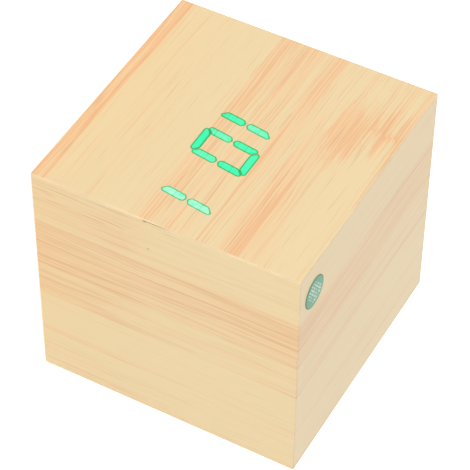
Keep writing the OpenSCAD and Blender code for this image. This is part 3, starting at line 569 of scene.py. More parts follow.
# printed wood film; the wrap's grain runs round the case, the front sheet's from side to side
# places along and across the grain are in metres
filmSet = {
    "front": {
        "seed": 4,
        # share of peach from the bottom edge up
        "band": [
            (0, 0.9), (0.042, 0.8), (0.06, 0.3), (0.13, 0.18), (0.24, 0.2), (0.32, 0.12),
            (0.4, 0.24), (0.41, 0.8), (0.45, 0.62), (0.475, 0.44), (0.52, 0.6), (0.56, 0.56),
            (0.59, 0.36), (0.635, 0.56), (0.665, 0.42), (0.682, 0.24), (0.71, 0.44), (0.775, 0.44),
            (0.85, 0.32), (0.96, 0.28), (0.99, 0.5),
        ],
        # softer patches: place along and across, half length, half width, change of the share
        "patches": [
            (0.022, 0.047, 0.026, 0.0036, 0.34), (-0.024, 0.0468, 0.014, 0.003, -0.16),
            (0.016, 0.06, 0.024, 0.0042, -0.26), (0.018, 0.012, 0.03, 0.009, 0.1),
        ],
        "ring": {
            "CloudAlong": -0.011, "CloudAcross": 0.052, "HalfAlong": 0.012, "HalfAcross": 0.0046,
            "RingAlong": -0.0147, "RingAcross": 0.0592, "RingHalf": 0.0046, "RingShare": 1,
        },
    },
    "wrap": {
        "seed": 11,
        # share of peach from the front edge back
        "band": [
            (0, 0.18), (0.1, 0.24), (0.215, 0.26), (0.226, 0.68), (0.34, 0.64), (0.44, 0.56),
            (0.455, 0.36), (0.56, 0.4), (0.572, 0.54), (0.597, 0.64), (0.604, 0.12), (0.76, 0.16),
            (0.792, 0.4), (0.812, 0.2), (0.885, 0.24), (0.9, 0.4), (0.92, 0.24), (1, 0.36),
        ],
        "patches": [
            (0.056, -0.012, 0.018, 0.006, 0.14), (0.008, -0.002, 0.02, 0.01, 0.24),
            (0.006, -0.026, 0.016, 0.008, 0.24), (0.01, 0.022, 0.02, 0.01, 0.08),
        ],
        "ring": {
            "CloudAlong": 0.0205, "CloudAcross": -0.0235, "HalfAlong": 0.009, "HalfAcross": 0.007,
            "RingAlong": 0.0215, "RingAcross": -0.024, "RingHalf": 0.006, "RingShare": 0.1,
            "CloudShare": 0.35,
        },
        # tones of this sheet, a little browner than the front sheet's
        "tones": {
            "Peach": linear(244, 206, 158), "Deep": linear(240, 194, 145), "Rust": linear(226, 170, 119),
        },
        # the part over the top is printed more evenly
        "calm": (0.061, 0.066, 0.76, 0.5),
        # more short brown flecks near the front edge, low down: ends across, ends along, how many times more
        "flecks": (-0.021, -0.025, 0.042, 0.03, 2),
        # two small knocks: place along and across, half length, half width, strength
        "knocks": [(0.0277, -0.0295, 0.0004, 0.0003, 0.5), (0.0283, -0.0217, 0.0004, 0.0003, 0.3)],
        "knockTone": linear(146, 90, 58),
    },
}
# where a patch and a knock end and are full, in half widths, and strength and depth of the print's relief
patchEdge, knockEdge, filmRelief = (1.2, 0.4), (1.3, 0.5), (0.25, 0.03)


# how near a place is to the middle of an oval spot: 1 inside, 0 outside
def spotMask(run, cross, spot, edge):
    along, across, halfAlong, halfAcross = spot
    return remap(distance((run - along) / halfAlong, (cross - across) / halfAcross), *edge)


def filmMaterial(name, v, run, cross, low, span):
    tree, shader = newMaterial(name, Specular_IOR_Level=0.6)
    axes = sheetPlace(tree) if cross == "Y" else split(objectPlace(tree))
    run, cross = axes[run], axes[cross]
    stops = [(stop, (share, share, share, 1)) for stop, share in v["band"]]
    base = ramp((cross - low * mm) / (span * mm), stops)
    for *patch, change in v["patches"]:
        base = calc("MULTIPLY_ADD", spotMask(run, cross, patch, patchEdge), change, base)
    spot = {"Along": run, "Across": cross}
    ring = place(tree, caneBand, {**spot, "Base": base, **v["ring"]})
    streaks = place(tree, grainStreaks, {**spot, "Seed": v["seed"], "Band": ring["Band"]})
    inputs = {**streaks, **ring, **v.get("tones", {})}
    if "calm" in v:
        inputs["Calm"] = remap(run, *v["calm"])
    if "flecks" in v:
        outside, inside, high, full, more = v["flecks"]
        near = remap(cross, outside, inside) * remap(run, high, full)
        inputs["Flecks"] = near * more + 1
    made = place(tree, caneTone, inputs)
    tone = made["Color"]
    for *knock, strength in v.get("knocks", ()):
        tone = blend(spotMask(run, cross, knock, knockEdge) * strength, tone, v["knockTone"])
    surface(shader, tone, made["Roughness"], made["Height"], *filmRelief)


# seam between the front sheet and the wrap in the glue tone, with painted shade of its gap that is darker in
# places and at one place along it where it is open
seamSet = {
    "counts": (90, 0), "seed": 2.2, "dark": (0.56, 0.72, 0, 0.14),
    "opens": (0.0266, 0.0276), "closes": (0.0345, 0.0295),
    "glue": linear(246, 222, 182), "gap": linear(128, 86, 52),
}


def seamPaintedShade(v):
    tree, shader = newMaterial("seamPaintedShade", Roughness=0.7)
    run = sheetPlace(tree)["X"]
    opened = remap(run, *v["opens"]) * remap(run, *v["closes"])
    dark = remap(waves(run, 0, v["counts"], v["seed"]), *v["dark"])
    # the gap tone is painted shade in the seam's gap, both where the noise darkens it and at the open place
    wireAll(shader, Base_Color=blend(calc("MAXIMUM", opened, dark), v["glue"], v["gap"]))


# tone, smoothest and roughest polish, depth of the grain in mm, and its waves per metre
plastics = {
    "coverPlastic": ((38, 38, 40), 0.48, 0.62, 0.05, 2600),
    "keyPlastic": ((74, 76, 80), 0.38, 0.52, 0.02, 4200),
    "markPaint": ((226, 226, 222), 0.45, 0.6, 0.01, 5200),
    "socketPlastic": ((24, 24, 26), 0.32, 0.46, 0.01, 5200),
    "chipPlastic": ((40, 41, 43), 0.5, 0.66, 0.02, 6000),
    "palePlastic": ((228, 224, 212), 0.4, 0.55, 0.01, 4200),
    "displayPlastic": ((196, 198, 200), 0.45, 0.6, 0.01, 4200),
    "darkResin": ((214, 224, 214), 0.25, 0.4, 0, 3000),
    "lightChip": ((236, 206, 92), 0.2, 0.35, 0, 9000),
    "filmEdge": ((245, 220, 178), 0.5, 0.65, 0, 16000),
    "gluedPine": ((206, 170, 122), 0.6, 0.75, 0.05, 1600),
    "ribbonPlastic": ((150, 153, 158), 0.35, 0.5, 0, 3000),
    "redInsulation": ((190, 34, 30), 0.32, 0.46, 0, 3000),
    "blackInsulation": ((30, 30, 32), 0.32, 0.46, 0, 3000),
    "insulatorCard": ((222, 220, 214), 0.5, 0.65, 0, 4200),
}
# the same for metals, whose grain is drawn out along an axis instead
metals = {
    "screwSteel": ((176, 178, 182), 0.28, 0.44, 0.01, (1, 1, 1)),
    "tinnedMetal": ((204, 206, 208), 0.24, 0.4, 0.01, (1, 1, 1)),
    "contactMetal": ((200, 196, 186), 0.22, 0.38, 0.01, (1, 0.1, 1)),
    "canMetal": ((188, 190, 194), 0.26, 0.42, 0.01, (1, 0.2, 1)),
    "cellSteel": ((196, 196, 196), 0.2, 0.34, 0.01, (0.1, 1, 1)),
}
plainRelief = 0.5


def plainMaterial(name, group, row, shape, **values):
    tone, smooth, matt, depth, grain = row
    tree, shader = newMaterial(name, **values)
    inputs = {"Tone": linear(*tone), "Smooth": smooth, "Matt": matt, shape: grain}
    made = place(tree, group, {"Place": objectPlace(tree), **inputs})
    surface(shader, made["Color"], made["Roughness"], made["Height"], plainRelief, depth)


# pressed fibre board: brown clumps with paler and darker fibres
fibreSet = {
    "clump": (700, 4, 0.65), "fibre": (3200, 2, 0.6), "lift": (0.3, 0.7, 0.8, 1.12),
    "tones": [(0.32, linear(150, 112, 74)), (0.55, linear(186, 148, 104)), (0.72, linear(208, 174, 128))],
    "rough": (0.3, 0.7, 0.92, 0.74), "relief": (0.6, 0.08),
}


def fibreBoard(v):
    tree, shader = newMaterial("fibreBoard")
    clump, fibre = (noise(objectPlace(tree), *v[name]) for name in ("clump", "fibre"))
    tone = shade(ramp(clump, v["tones"]), remap(fibre, *v["lift"]))
    surface(shader, tone, remap(clump, *v["rough"]), fibre, *v["relief"])


# circuit board: green resist with paler tracks
resistSet = {
    "tracks": {
        "Scale": 1, "Mortar Size": 0.00022, "Mortar Smooth": 0.1, "Brick Width": 0.0046, "Row Height": 0.0013,
    },
    "stagger": 0.37, "patch": 140, "patchSeed": 0.4, "routed": (0.42, 0.56),
    "resist": linear(22, 84, 50), "track": linear(58, 128, 78),
    "rough": (0.3, 0.7, 0.28, 0.42), "relief": (0.5, 0.03),
}


def circuitBoard(v):
    tree, shader = newMaterial("circuitBoard", Coat_Weight=0.3)
    spot = split(objectPlace(tree))
    fields = {"Vector": vector(spot["X"], spot["Z"], 0), **v["tracks"]}
    tracks = addNode(tree, "TexBrick", "Fac", fields, offset=v["stagger"])
    patch = noise(vector(spot["X"], spot["Z"], v["patchSeed"]), v["patch"])
    routed = tracks * remap(patch, *v["routed"])
    tone = blend(routed, v["resist"], v["track"])
    surface(shader, tone, remap(patch, *v["rough"]), routed, *v["relief"])


# lit resin: dark green at the rim, mint inside, palest in the middle, with the film's grain over it
litSet = {
    "seed": 21, "mottle": 900, "mottleLift": (0.25, 0.75, 0.6, 1.25), "grainLift": (0, 1, 1.04, 0.86),
    "tones": [
        (0, linear(20, 152, 78)), (0.38, linear(26, 188, 102)), (0.7, linear(36, 236, 152)),
        (0.95, linear(42, 250, 174)),
    ],
    "heart": linear(176, 255, 216), "resin": (0.005, 0.04, 0.02, 1),
}


def litResin(v):
    plain = {"Emission_Strength": 1, "Roughness": 0.5, "Specular_IOR_Level": 0.1, "Base_Color": v["resin"]}
    tree, shader = newMaterial("litResin", **plain)
    glow, bright = pointValue(tree, "glow"), pointValue(tree, "bright")
    spot = split(objectPlace(tree))
    streaks = place(tree, grainStreaks, {"Along": spot["X"], "Across": spot["Z"], "Seed": v["seed"]})
    mottle = noise(vector(spot["X"], spot["Z"], 0), v["mottle"])
    tone = blend(glow * bright * remap(mottle, *v["mottleLift"]), ramp(glow, v["tones"]), v["heart"])
    wireAll(shader, Emission_Color=shade(tone, remap(streaks["Fine"], *v["grainLift"])))


# plain round sticker, in mm: a darker rim and rows of plain pale bars
labelLow, labelHigh = packedBox("round_label")
stickerSet = {
    "centre": ((labelLow.x + labelHigh.x) / 2, (labelLow.y + labelHigh.y) / 2),
    "radius": (labelHigh.x - labelLow.x) / 2, "low": labelLow.z, "high": labelHigh.z, "sides": 96,
    # inset from the radius and depth under the top, of the softened edge
    "edge": [(0, 0.05), (0.02, 0.015), (0.06, 0)],
    "turn": -52, "row": 0.68, "shift": 20, "bar": (0.1, 0.15), "field": (2.15, 2.05),
    "fieldEdge": (0.8, 0.76), "blocks": (1.9, 3.7), "blockEnds": (0.42, 0.5), "rimEdge": (0.9, 0.96),
    "inkShare": 0.9,
    "paper": 2600, "lift": (0.3, 0.7, 0.94, 1.05), "rough": (0.3, 0.7, 0.48, 0.6),
    "green": linear(116, 180, 142), "rim": linear(88, 140, 108), "ink": linear(214, 232, 220),
}


def stickerPaper(v):
    tree, shader = newMaterial("stickerPaper", Specular_IOR_Level=0.2)
    spot = split(objectPlace(tree))
    x, y = ((spot[axis] - middle * mm) / mm for axis, middle in zip("XY", v["centre"]))
    sine, cosine = sin(radians(v["turn"])), cos(radians(v["turn"]))
    along = x * cosine + y * sine
    across = y * cosine - x * sine
    share = distance(x, y) / v["radius"]
    shifted = across + v["shift"]
    inside = remap(abs(across), *v["field"]) * remap(share, *v["fieldEdge"])
    row = calc("FLOOR", shifted / v["row"])
    blocks = remap(waves(along, row, v["blocks"], seed=0, detail=0), *v["blockEnds"])
    bars = remap(calc("PINGPONG", shifted, v["row"] / 2), *v["bar"]) * inside * blocks
    paper = noise(objectPlace(tree), v["paper"])
    tone = blend(remap(share, *v["rimEdge"]), v["green"], v["rim"])
    tone = shade(blend(bars * v["inkShare"], tone, v["ink"]), remap(paper, *v["lift"]))
    surface(shader, tone, remap(paper, *v["rough"]))


# shrink sleeve of a cell: plain colour fields along its length, each from one share of it to another
sleeveSet = {
    "fields": [("grey", 0, 0.055), ("blue", 0.058, 0.7), ("grey", 0.703, 0.735), ("blue", 0.738, 1)],
    "blue": linear(34, 74, 112), "grey": linear(188, 194, 200),
    "grain": {"Scale": 2200, "Smooth": 0.26, "Matt": 0.38},
}


def cellSleeve(v):
    tree, shader = newMaterial("cellSleeve", Coat_Weight=0.4, Coat_Roughness=0.15)
    stops = [(stop, v[tone]) for tone, *ends in v["fields"] for stop in ends]
    tone = ramp(pointValue(tree, "lengthwise"), stops)
    made = place(tree, mouldGrain, {"Place": objectPlace(tree), "Tone": tone, **v["grain"]})
    surface(shader, made["Color"], made["Roughness"])


filmMaterial("frontFilm", filmSet["front"], "X", "Z", 0, caseSet["height"])
filmMaterial("wrapFilm", filmSet["wrap"], "X", "Y", caseSet["front"], caseSet["rear"] - caseSet["front"])
seamPaintedShade(seamSet)
fibreBoard(fibreSet)
circuitBoard(resistSet)
litResin(litSet)
stickerPaper(stickerSet)
cellSleeve(sleeveSet)
for name, row in plastics.items():
    plainMaterial(name, mouldGrain, row, "Scale")
for name, row in metals.items():
    plainMaterial(name, metalGrain, row, "Stretch", Metallic=1)
print("materials built:", len(finishes))


# case: film outline at a depth under its outer face
def caseLoop(v, depth):
    low, high, half = depth, v["height"] - depth, v["half"] - depth
    corners = [(half, low), (half, high), (-half, high), (-half, low)]
    return roundedLoop(corners, max(v["corner"] - depth, v["leastCorner"]), v["steps"])


# points of loops that lie at a y each
def loopPoints(loops):
    return [(p.x, y, p.y) for loop, y in loops for p in loop]


# one sheet wrapped round the four walls, with its grain laid out along the wrap
def caseWrap(v):
    front = [(depth, v["seam"] + run) for depth, run in v["wrapFront"]]
    rear = [(depth, v["rear"] - run) for depth, run in v["wrapRear"]]
    outer = front + [(0, 0)] + rear
    stations = outer + [(v["film"], v["rear"]), (v["film"], v["seam"])]
    points = loopPoints((caseLoop(v, depth), y) for depth, y in stations)
    count = len(points) // len(stations)
    arc = [0]
    loop = caseLoop(v, 0)
    for here, after in zip(loop, loop[1:] + loop[:1]):
        arc.append(arc[-1] + (after - here).length)
    faces, sheet, tags = [], [], []
    seamRows, filmRows = len(front) - 1, len(outer) - 1
    for row, (_, y) in enumerate(stations):
        after = (row + 1) % len(stations)
        nextY = stations[after][1]
        faces += skin(row * count, after * count, count)
        # the rows at the seam take the material with painted shade of the seam's gap
        tags += [2 if row < seamRows else 0 if row < filmRows else 1] * count
        for a, b in zip(arc, arc[1:]):
            sheet += [(a, y), (b, y), (b, nextY), (a, nextY)]
    materials = ("wrapFilm", "filmEdge", "seamPaintedShade")
    stands = ("film_top", "film_right", "film_bottom", "film_left")
    makePiece("caseWrap", materials, "wood_film", stands, points, faces, tags, {}, sheet)


# lit digits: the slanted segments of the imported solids, whose light spreads a little past their outlines
litLow, litHigh = packedBox("lit_segments")
digitSet = {
    "shown": ("", "bc", "abcdef", "bc"), "pitch": 12.7, "middle": (litLow.z + litHigh.z) / 2, "slant": 8,
    "halfWide": 4.4, "halfHigh": (litHigh.z - litLow.z) / 2, "stroke": 1.9, "cut": 1.3, "gap": 0.2,
    "meet": 0.4, "spread": 0.095, "round": 0.7, "roundLoss": 0.8, "leastRound": 0.12, "steps": 5,
    "back": litHigh.y, "front": litLow.y, "under": 0.015, "soft": 0.03,
    # depth inside the lit outline and glow there
    "glow": [(0.03, 0.04), (0.24, 0.4), (0.4, 0.85), (0.6, 1)],
    "bright": {
        "1b": 0.42, "1c": 0.14, "2a": 0.13, "2b": 0.12, "2c": 0.3, "2d": 0.06, "2e": 0.38, "2f": 0.14,
        "3b": 0.94, "3c": 0.88,
    },
}
# segments a and b, turned over for the others
flips = {"a": (1, 1), "b": (1, 1), "c": (1, -1), "d": (1, -1), "e": (-1, -1), "f": (-1, 1)}


def segmentOutline(v, index, name):
    x, z, stroke, gap = v["halfWide"], v["halfHigh"], v["stroke"], v["gap"]
    cutSum, halfGap = x + z - v["cut"], gap * sqrt(0.5)
    flat = name in "ad"
    m = z - x + halfGap if flat else z - x - halfGap
    tip = ((cutSum - m) / 2, (cutSum + m) / 2)
    if flat:
        half = [(cutSum - z, z), tip, (z - stroke - m, z - stroke)]
        shape = half + [(-px, pz) for px, pz in reversed(half)]
    else:
        inner, foot, point = x - stroke, gap + stroke / 3, (x - stroke / 2, gap * v["meet"])
        shape = [(x, cutSum - x), tip, (inner, inner + m), (inner, foot), point, (x, foot)]
    acrossFlip, upFlip = flips[name]
    lean = tan(radians(v["slant"]))
    middle = (index - (len(v["shown"]) - 1) / 2) * v["pitch"]
    shape = [(px * acrossFlip, pz * upFlip) for px, pz in shape]
    shape = [Vector((middle + px + pz * lean, v["middle"] + pz)) for px, pz in shape]
    return shape if acrossFlip * upFlip < 0 else shape[::-1]


def litSegments(v):
    return [(index, name) for index, names in enumerate(v["shown"]) for name in names]


# rounded outline of a segment at a depth inside its outline
def segmentLoop(v, index, name, depth):
    radius = max(v["round"] - depth * v["roundLoss"], v["leastRound"])
    return roundedLoop(inset(segmentOutline(v, index, name), depth), radius, v["steps"])


def digitBars(v):
    points, faces, glow, bright = [], [], [], []
    rim, face = -v["spread"], v["front"] + v["under"]
    rows = [(rim, v["back"], 0), (rim, face + v["soft"], 0)]
    rows += [(rim + depth, face, share) for depth, share in v["glow"]]
    for index, name in litSegments(v):
        base = len(points)
        points += loopPoints((segmentLoop(v, index, name, depth), y) for depth, y, _ in rows)
        count = (len(points) - base) // len(rows)
        glow += [share for _, _, share in rows for _ in range(count)]
        bright += [v["bright"][f"{index}{name}"]] * (len(points) - base)
        faces += closedTube(base, len(rows), count)
    marks = {"glow": glow, "bright": bright}
    makePiece("digitBars", ("litResin",), "lit_resin", ("lit_segments",), points, faces, (), marks)


# front sheet with a softened edge and rounded windows that the lit digits fill
def frontSheet(v, d):
    rims = [(depth, v["seam"] - run) for depth, run in v["sheetBack"]]
    rims += [(depth, v["front"] + run) for depth, run in v["sheetFront"]]
    points = loopPoints((caseLoop(v, depth), y) for depth, y in rims)
    count = len(points) // len(rims)
    faces = tube(0, len(rims), count)
    tags = [1] * len(faces)
    backLoops, frontLoops = [range(count)], [range(len(points) - count, len(points))]
    for index, name in litSegments(d):
        base = len(points)
        window = segmentLoop(d, index, name, -d["spread"] - v["windowGap"])
        size = len(window)
        points += loopPoints([(window, v["seam"]), (window, v["front"])])
        faces += tube(base, 2, size)
        backLoops.append(range(base, base + size))
        frontLoops.append(range(base + size, base + 2 * size))
    for loops in (backLoops, frontLoops):
        order = [i for loop in loops for i in loop]
        outlines = [[Vector((points[i][0], points[i][2], 0)) for i in loop] for loop in loops]
        faces += [tuple(order[i] for i in triple) for triple in tessellate_polygon(outlines)]
    tags += [0] * (len(faces) - len(tags))
    materials = ("frontFilm", "filmEdge")
    makePiece("frontSheet", materials, "wood_film", ("front_film",), points, faces, tags)


# round solid about x, or about z where it is upright, from a profile of radius and run
def lathe(profile, tags, sides, move, upright=False):
    points, faces, faceTags, runs, rows = [], [], [], [], []
    for radius, run in profile:
        around = 1 if radius == 0 else sides
        rows.append((len(points), around))
        runs += [run] * around
        for k in range(around):
            angle = 2 * pi * k / sides
            spot = Vector((run, radius * cos(angle), radius * sin(angle)))
            points.append(move @ (spot.yzx if upright else spot))
    for tag, (a, m), (b, n) in zip(tags, rows, rows[1:]):
        faceTags += [tag] * sides
        if m == 1:
            faces += [(a, b + (k + 1) % sides, b + k) for k in range(sides)]
        elif n == 1:
            faces += [(a + k, a + (k + 1) % sides, b) for k in range(sides)]
        else:
            faces += skin(a, b, sides)
    return points, faces, faceTags, runs


def roundSticker(v):
    r, low, high = v["radius"], v["low"], v["high"]
    edge = [(r - inwards, high - under) for inwards, under in v["edge"]]
    profile = [(0, low), (r, low), *edge, (r / 2, high), (0, high)]
    move = Matrix.Translation((*v["centre"], 0))
    points, faces, tags, _ = lathe(profile, [0] * (len(profile) - 1), v["sides"], move, upright=True)
    makePiece("roundSticker", ("stickerPaper",), "sticker", ("round_label",), points, faces, tags, smooth=35)


caseWrap(caseSet)
digitBars(digitSet)
frontSheet(caseSet, digitSet)
roundSticker(stickerSet)
print("case film, digits and sticker made")


# battery bay: cells and springs turn from side to side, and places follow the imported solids
cellNodes = ("cell_lower", "cell_middle", "cell_upper")
cellBoxes = [packedBox(node) for node in cellNodes]
cellLow, cellHigh = cellBoxes[0]
baySet = {
    "y": (cellLow.y + cellHigh.y) / 2, "z": [(low.z + high.z) / 2 for low, high in cellBoxes],
    "contact": packedBox("contact_springs")[1].x, "spring": 4,
    "cellRadius": (cellHigh.y - cellLow.y) / 2, "cellLength": cellHigh.x - cellLow.x, "cellSides": 72,
    "nub": 1.9, "nubHigh": 0.8, "springRadius": (3.4, 2.4), "turns": 3, "turnSteps": 24,
    "wire": 0.25, "wireSides": 12, "wireTail": 0.1,
}
# profile of a cell's ends: radius, or what is taken from it, and depth under the end
cellSet = {
    "foot": [(0, 0.25), (3.3, 0.25), (3.55, 0.2), (3.7, 0.05), (3.85, 0), (4.45, 0)],
    "footHem": [(4.62, 0.06), (4.66, 0.02), (4.95, 0), (5.14, 0.06)],
    "shoulder": [(0.02, 0.18), (0, 0.34)],
    "headHem": [(5.14, 0.06), (4.95, 0), (4.62, 0)],
    "card": [(4.58, 0.08), (4.5, 0.1), (2.9, 0.1)],
    "head": [(2.82, 0.14), (2.55, 0.14)],
    "nubFoot": [(-0.12, 0.12), (0, 0)],
    "nubTop": [(0, 0.25), (0.06, 0.09), (0.22, 0)],
}


def baySide(index):
    return 1 if index % 2 == 0 else -1


def batteryCell(v, c, index, node):
    r, length, nub = v["cellRadius"], v["cellLength"], v["nub"]
    can = length - v["nubHigh"]
    def below(top, spots):
        return [(x, top - under) for x, under in spots]
    def within(radius, spots):
        return [(radius - inwards, under) for inwards, under in spots]
    shoulder = within(r, c["shoulder"])
    sleeve = c["footHem"] + shoulder + below(can, shoulder[::-1] + c["headHem"])
    head = below(can, c["head"] + within(nub, c["nubFoot"]))
    head += below(length, within(nub, c["nubTop"]) + [(0, 0)])
    stretches = [(1, c["foot"]), (0, sleeve), (2, below(can, c["card"])), (1, head)]
    profile = [spot for _, spots in stretches for spot in spots]
    tags = [tag for tag, spots in stretches for _ in spots][:-1]
    side = baySide(index)
    start = Vector((-side * (v["contact"] - v["spring"]), v["y"], v["z"][index]))
    turn = Matrix.Identity(4) if side > 0 else Matrix.Rotation(pi, 4, "Z")
    points, faces, tags, runs = lathe(profile, tags, v["cellSides"], Matrix.Translation(start) @ turn)
    name = "cell" + node.split("_")[1].capitalize()
    materials = ("cellSleeve", "cellSteel", "insulatorCard")
    marks = {"lengthwise": [run / length for run in runs]}
    makePiece(name, materials, "cell_sleeve", (node,), points, faces, tags, marks, smooth=30)


# adds a tube along a path; the rings that round its ends, as distance past the end and width in radii
tubeEnds = ((0.35, 0.6), (0.12, 0.9))


def addTube(points, faces, path, radius, sides):
    last = len(path) - 1
    heading = [(path[min(i + 1, last)] - path[max(i - 1, 0)]).normalized() for i in range(last + 1)]
    normal = heading[0].orthogonal().normalized()
    rings = [(0, -push, wide) for push, wide in tubeEnds]
    rings += [(i, 0, 1) for i in range(last + 1)]
    rings += [(last, push, wide) for push, wide in reversed(tubeEnds)]
    faces += closedTube(len(points), len(rings), sides)
    for i, push, wide in rings:
        normal = (normal - heading[i] * normal.dot(heading[i])).normalized()
        side = heading[i].cross(normal)
        centre = path[i] + heading[i] * push * radius
        for k in range(sides):
            turn = 2 * pi * k / sides
            points.append(centre + (normal * cos(turn) + side * sin(turn)) * radius * wide)


# coils that narrow from the contact to the cell, each with a straight start and end
def contactSprings(v):
    points, faces = [], []
    (wide, narrow), wireWide = v["springRadius"], 2 * v["wire"]
    tail, steps = v["wireTail"], v["turnSteps"] * v["turns"]
    for index, z in enumerate(v["z"]):
        side = baySide(index)
        foot = Vector((-side * v["contact"], v["y"], z))
        path = [foot + Vector((side * tail, wide, 0))]
        for k in range(steps + 1):
            share = k / steps
            radius = wide + (narrow - wide) * share
            turn = 2 * pi * v["turns"] * share
            run = wireWide + (v["spring"] - 2 * wireWide) * share
            path.append(foot + Vector((side * run, radius * cos(turn), radius * sin(turn))))
        path.append(foot + Vector((side * (v["spring"] - tail), narrow, 0)))
        addTube(points, faces, path, v["wire"], v["wireSides"])
    stands = ("contact_springs",)
    makePiece("contactSprings", ("contactMetal",), "contact_metal", stands, points, faces, smooth=60)


# battery leads, soldered from a contact's tail to the key board, with bare ends
leadSet = {
    "red": {"side": 1, "start": baySet["z"][2]},
    "black": {"side": -1, "start": baySet["z"][0]},
}
# where the sheath ends and how far a bare end goes into it, as shares of the first and the last stretch
leadSize = {
    "end": 50.1, "steps": 8, "radius": 0.5, "sides": 18, "bareRadius": 0.34, "bareSides": 12,
    "sheath": (0.7, 0.25), "bare": (0.75, 0.3),
}


def curvePoint(a, b, c, d, u):
    return (2 * b + (c - a) * u + (2 * a - 5 * b + 4 * c - d) * u * u + (3 * b - a - 3 * c + d) * u**3) / 2


# a smooth line through given points
def leadPath(side, start, end, steps):
    route = [
        (24.55, 14.2, start), (23.05, 14.2, start), (20.55, 14, start + 2.5), (19.55, 14, (start + end) / 2),
        (18.55, 14, end - 4), (17.75, 14.2, end - 0.6), (17.55, 15.7, end), (17.55, 17.9, end),
    ]
    route = [Vector((side * x, y, z)) for x, y, z in route]
    path = [route[0]]
    for i in range(1, len(route) - 2):
        path += [curvePoint(*route[i - 1:i + 3], k / steps) for k in range(steps)]
    return path + route[-2:]


def batteryLead(name, v, size):
    path = leadPath(v["side"], v["start"], size["end"], size["steps"])
    tips = [(path[0], path[1]), (path[-1], path[-2])]
    first, last = (tip.lerp(after, share) for (tip, after), share in zip(tips, size["sheath"]))
    points, faces = [], []
    addTube(points, faces, [first, *path[1:-1], last], size["radius"], size["sides"])
    tags = [0] * len(faces)
    for (tip, after), share in zip(tips, size["bare"]):
        bare = [tip, tip.lerp(after, share / 2), tip.lerp(after, share)]
        addTube(points, faces, bare, size["bareRadius"], size["bareSides"])
    tags += [1] * (len(faces) - len(tags))
    materials, slot, stands = (name + "Insulation", "tinnedMetal"), name + "_insulation", (name + "_lead",)
    makePiece(name + "Lead", materials, slot, stands, points, faces, tags)


# grey ribbon with one ridge for each wire; its ends are places in y and z
ribbonSet = {
    "x": 6, "wide": 8, "thick": 0.9, "wires": 8, "samples": 8, "valley": 0.6,
    "from": (-15.6, 45.25), "to": (13.4, 52.7), "sag": 4, "steps": 48,
}


def ribbonCable(v):
    pitch, steps = v["wide"] / v["wires"], v["steps"]
    def half(x):
        off = (x / pitch + v["wires"] / 2) % 1 - 0.5
        ridge = (1 - v["valley"]) * sqrt(max(0, 1 - 4 * off * off))
        return v["thick"] / 2 * (v["valley"] + ridge)
    spots = [(k / v["samples"] - v["wires"] / 2) * pitch for k in range(v["wires"] * v["samples"] + 1)]
    section = [(x, half(x)) for x in spots] + [(x, -half(x)) for x in reversed(spots)]
    (startY, startZ), (endY, endZ) = v["from"], v["to"]
    def spot(u):
        ease = u * u * (3 - 2 * u)
        sag = v["sag"] * sin(pi * u) ** 2
        return Vector((startY + (endY - startY) * u, startZ + (endZ - startZ) * ease - sag))
    points = []
    for i in range(steps + 1):
        here = spot(i / steps)
        along = (spot(min(i + 1, steps) / steps) - spot(max(i - 1, 0) / steps)).normalized()
        along = Vector((1, 0)) if i in (0, steps) else along
        points += [(v["x"] + x, here.x - along.y * h, here.y + along.x * h) for x, h in section]
    faces = closedTube(0, steps + 1, len(section))
    stands = ("ribbon_cable",)
    makePiece("ribbonCable", ("ribbonPlastic",), "ribbon_plastic", stands, points, faces, smooth=60)


for index, node in enumerate(cellNodes):
    batteryCell(baySet, cellSet, index, node)
contactSprings(baySet)
for name, lead in leadSet.items():
    batteryLead(name, lead, leadSize)
ribbonCable(ribbonSet)
print("cells, springs, leads and ribbon made")


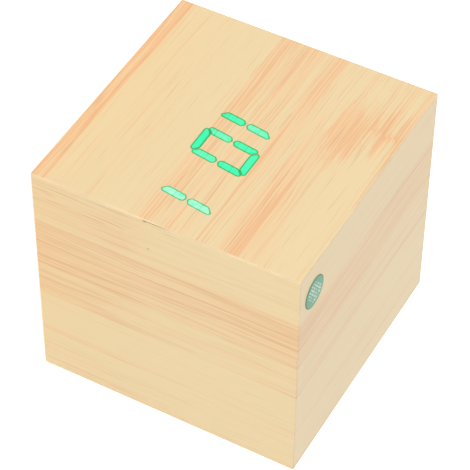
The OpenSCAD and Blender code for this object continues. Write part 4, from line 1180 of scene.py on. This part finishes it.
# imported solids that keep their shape: finish, and width of the softened edge in mm
nodeFinishes = {
    "fibreBoard": {
        "wall_top": 0.12, "wall_right": 0.12, "wall_bottom": 0.12, "wall_left": 0.12, "front_panel": 0.15,
    },
    "gluedPine": {"corner_blocks": 0.25},
    "displayPlastic": {"display_housing": 0.06},
    "darkResin": {"dark_segments": 0.05},
    "lightChip": {"light_chips": 0.04},
    "palePlastic": {
        "display_base": 0.08, "board_spacers": 0.12, "ribbon_sockets": 0.15, "switch_stem_set": 0.2,
        "switch_stem_up": 0.2, "switch_stem_down": 0.2,
    },
    "circuitBoard": {"clock_board": 0.06, "key_board": 0.06},
    "tinnedMetal": {"display_pins": 0.08, "chip_leads": 0.04},
    "screwSteel": {"board_screws": 0.08, "cover_screws": 0.08, "key_board_screws": 0.06},
    "chipPlastic": {
        "controller_chip": 0.15, "coin_holder": 0.12, "buzzer": 0.3, "resistors": 0.05, "capacitor_can": 0.1,
        "temperature_sensor": 0,
    },
    "canMetal": {"crystal_can": 0.3, "microphone": 0.2},
    "cellSteel": {"coin_cell": 0.15},
    "contactMetal": {"coin_clip": 0.08, "contact_plates": 0.08, "socket_pin": 0.15},
    "coverPlastic": {"rear_cover": 0.16, "battery_door": 0.12},
    "keyPlastic": {"key_set": 0.08, "key_up": 0.08, "key_down": 0.08},
    "socketPlastic": {"supply_socket": 0.14, "switch_bodies": 0.12},
}
# a second finish, on the faces that lie less than this far from the node's rear end, in mm
secondFinish = {
    **dict.fromkeys(("key_set", "key_up", "key_down"), ("markPaint", 0.19)),
    "capacitor_can": ("canMetal", 6.72), "temperature_sensor": ("tinnedMetal", 2.85),
}
# nodes with plain outsides, whose flat faces are made whole so that the softened edge keeps its full width
wholeFaces = {"battery_door", "cover_screws", "key_set", "key_up", "key_down"}
edgeSet = {
    "weld": 1e-6,
    "flat": {"decimate_type": "DISSOLVE", "angle_limit": radians(1), "delimit": {"MATERIAL"}},
    "soften": {"segments": 3, "limit_method": "ANGLE", "angle_limit": radians(38)},
}


def dressNode(name, finish, edge, v):
    node = nodes[name]
    mesh = node.data
    mesh.materials.clear()
    mesh.materials.append(finishes[finish])
    if name in secondFinish:
        other, depth = secondFinish[name]
        plane = packedBox(name)[1].y - depth
        mesh.materials.append(finishes[other])
        for face in mesh.polygons:
            face.material_index = 1 if face.center.y > plane * mm else 0
    modify(node, "weld", "WELD", merge_threshold=v["weld"])
    whole = name in wholeFaces
    if whole:
        modify(node, "flat", "DECIMATE", **v["flat"])
    if edge:
        modify(node, "soften", "BEVEL", width=edge * mm, use_clamp_overlap=not whole, **v["soften"])
    weightNormals(node)


for finish, members in nodeFinishes.items():
    for name, edge in members.items():
        dressNode(name, finish, edge, edgeSet)
dressed = sum(len(members) for members in nodeFinishes.values())
print("solids dressed:", dressed, "replaced:", len(nodes) - dressed)
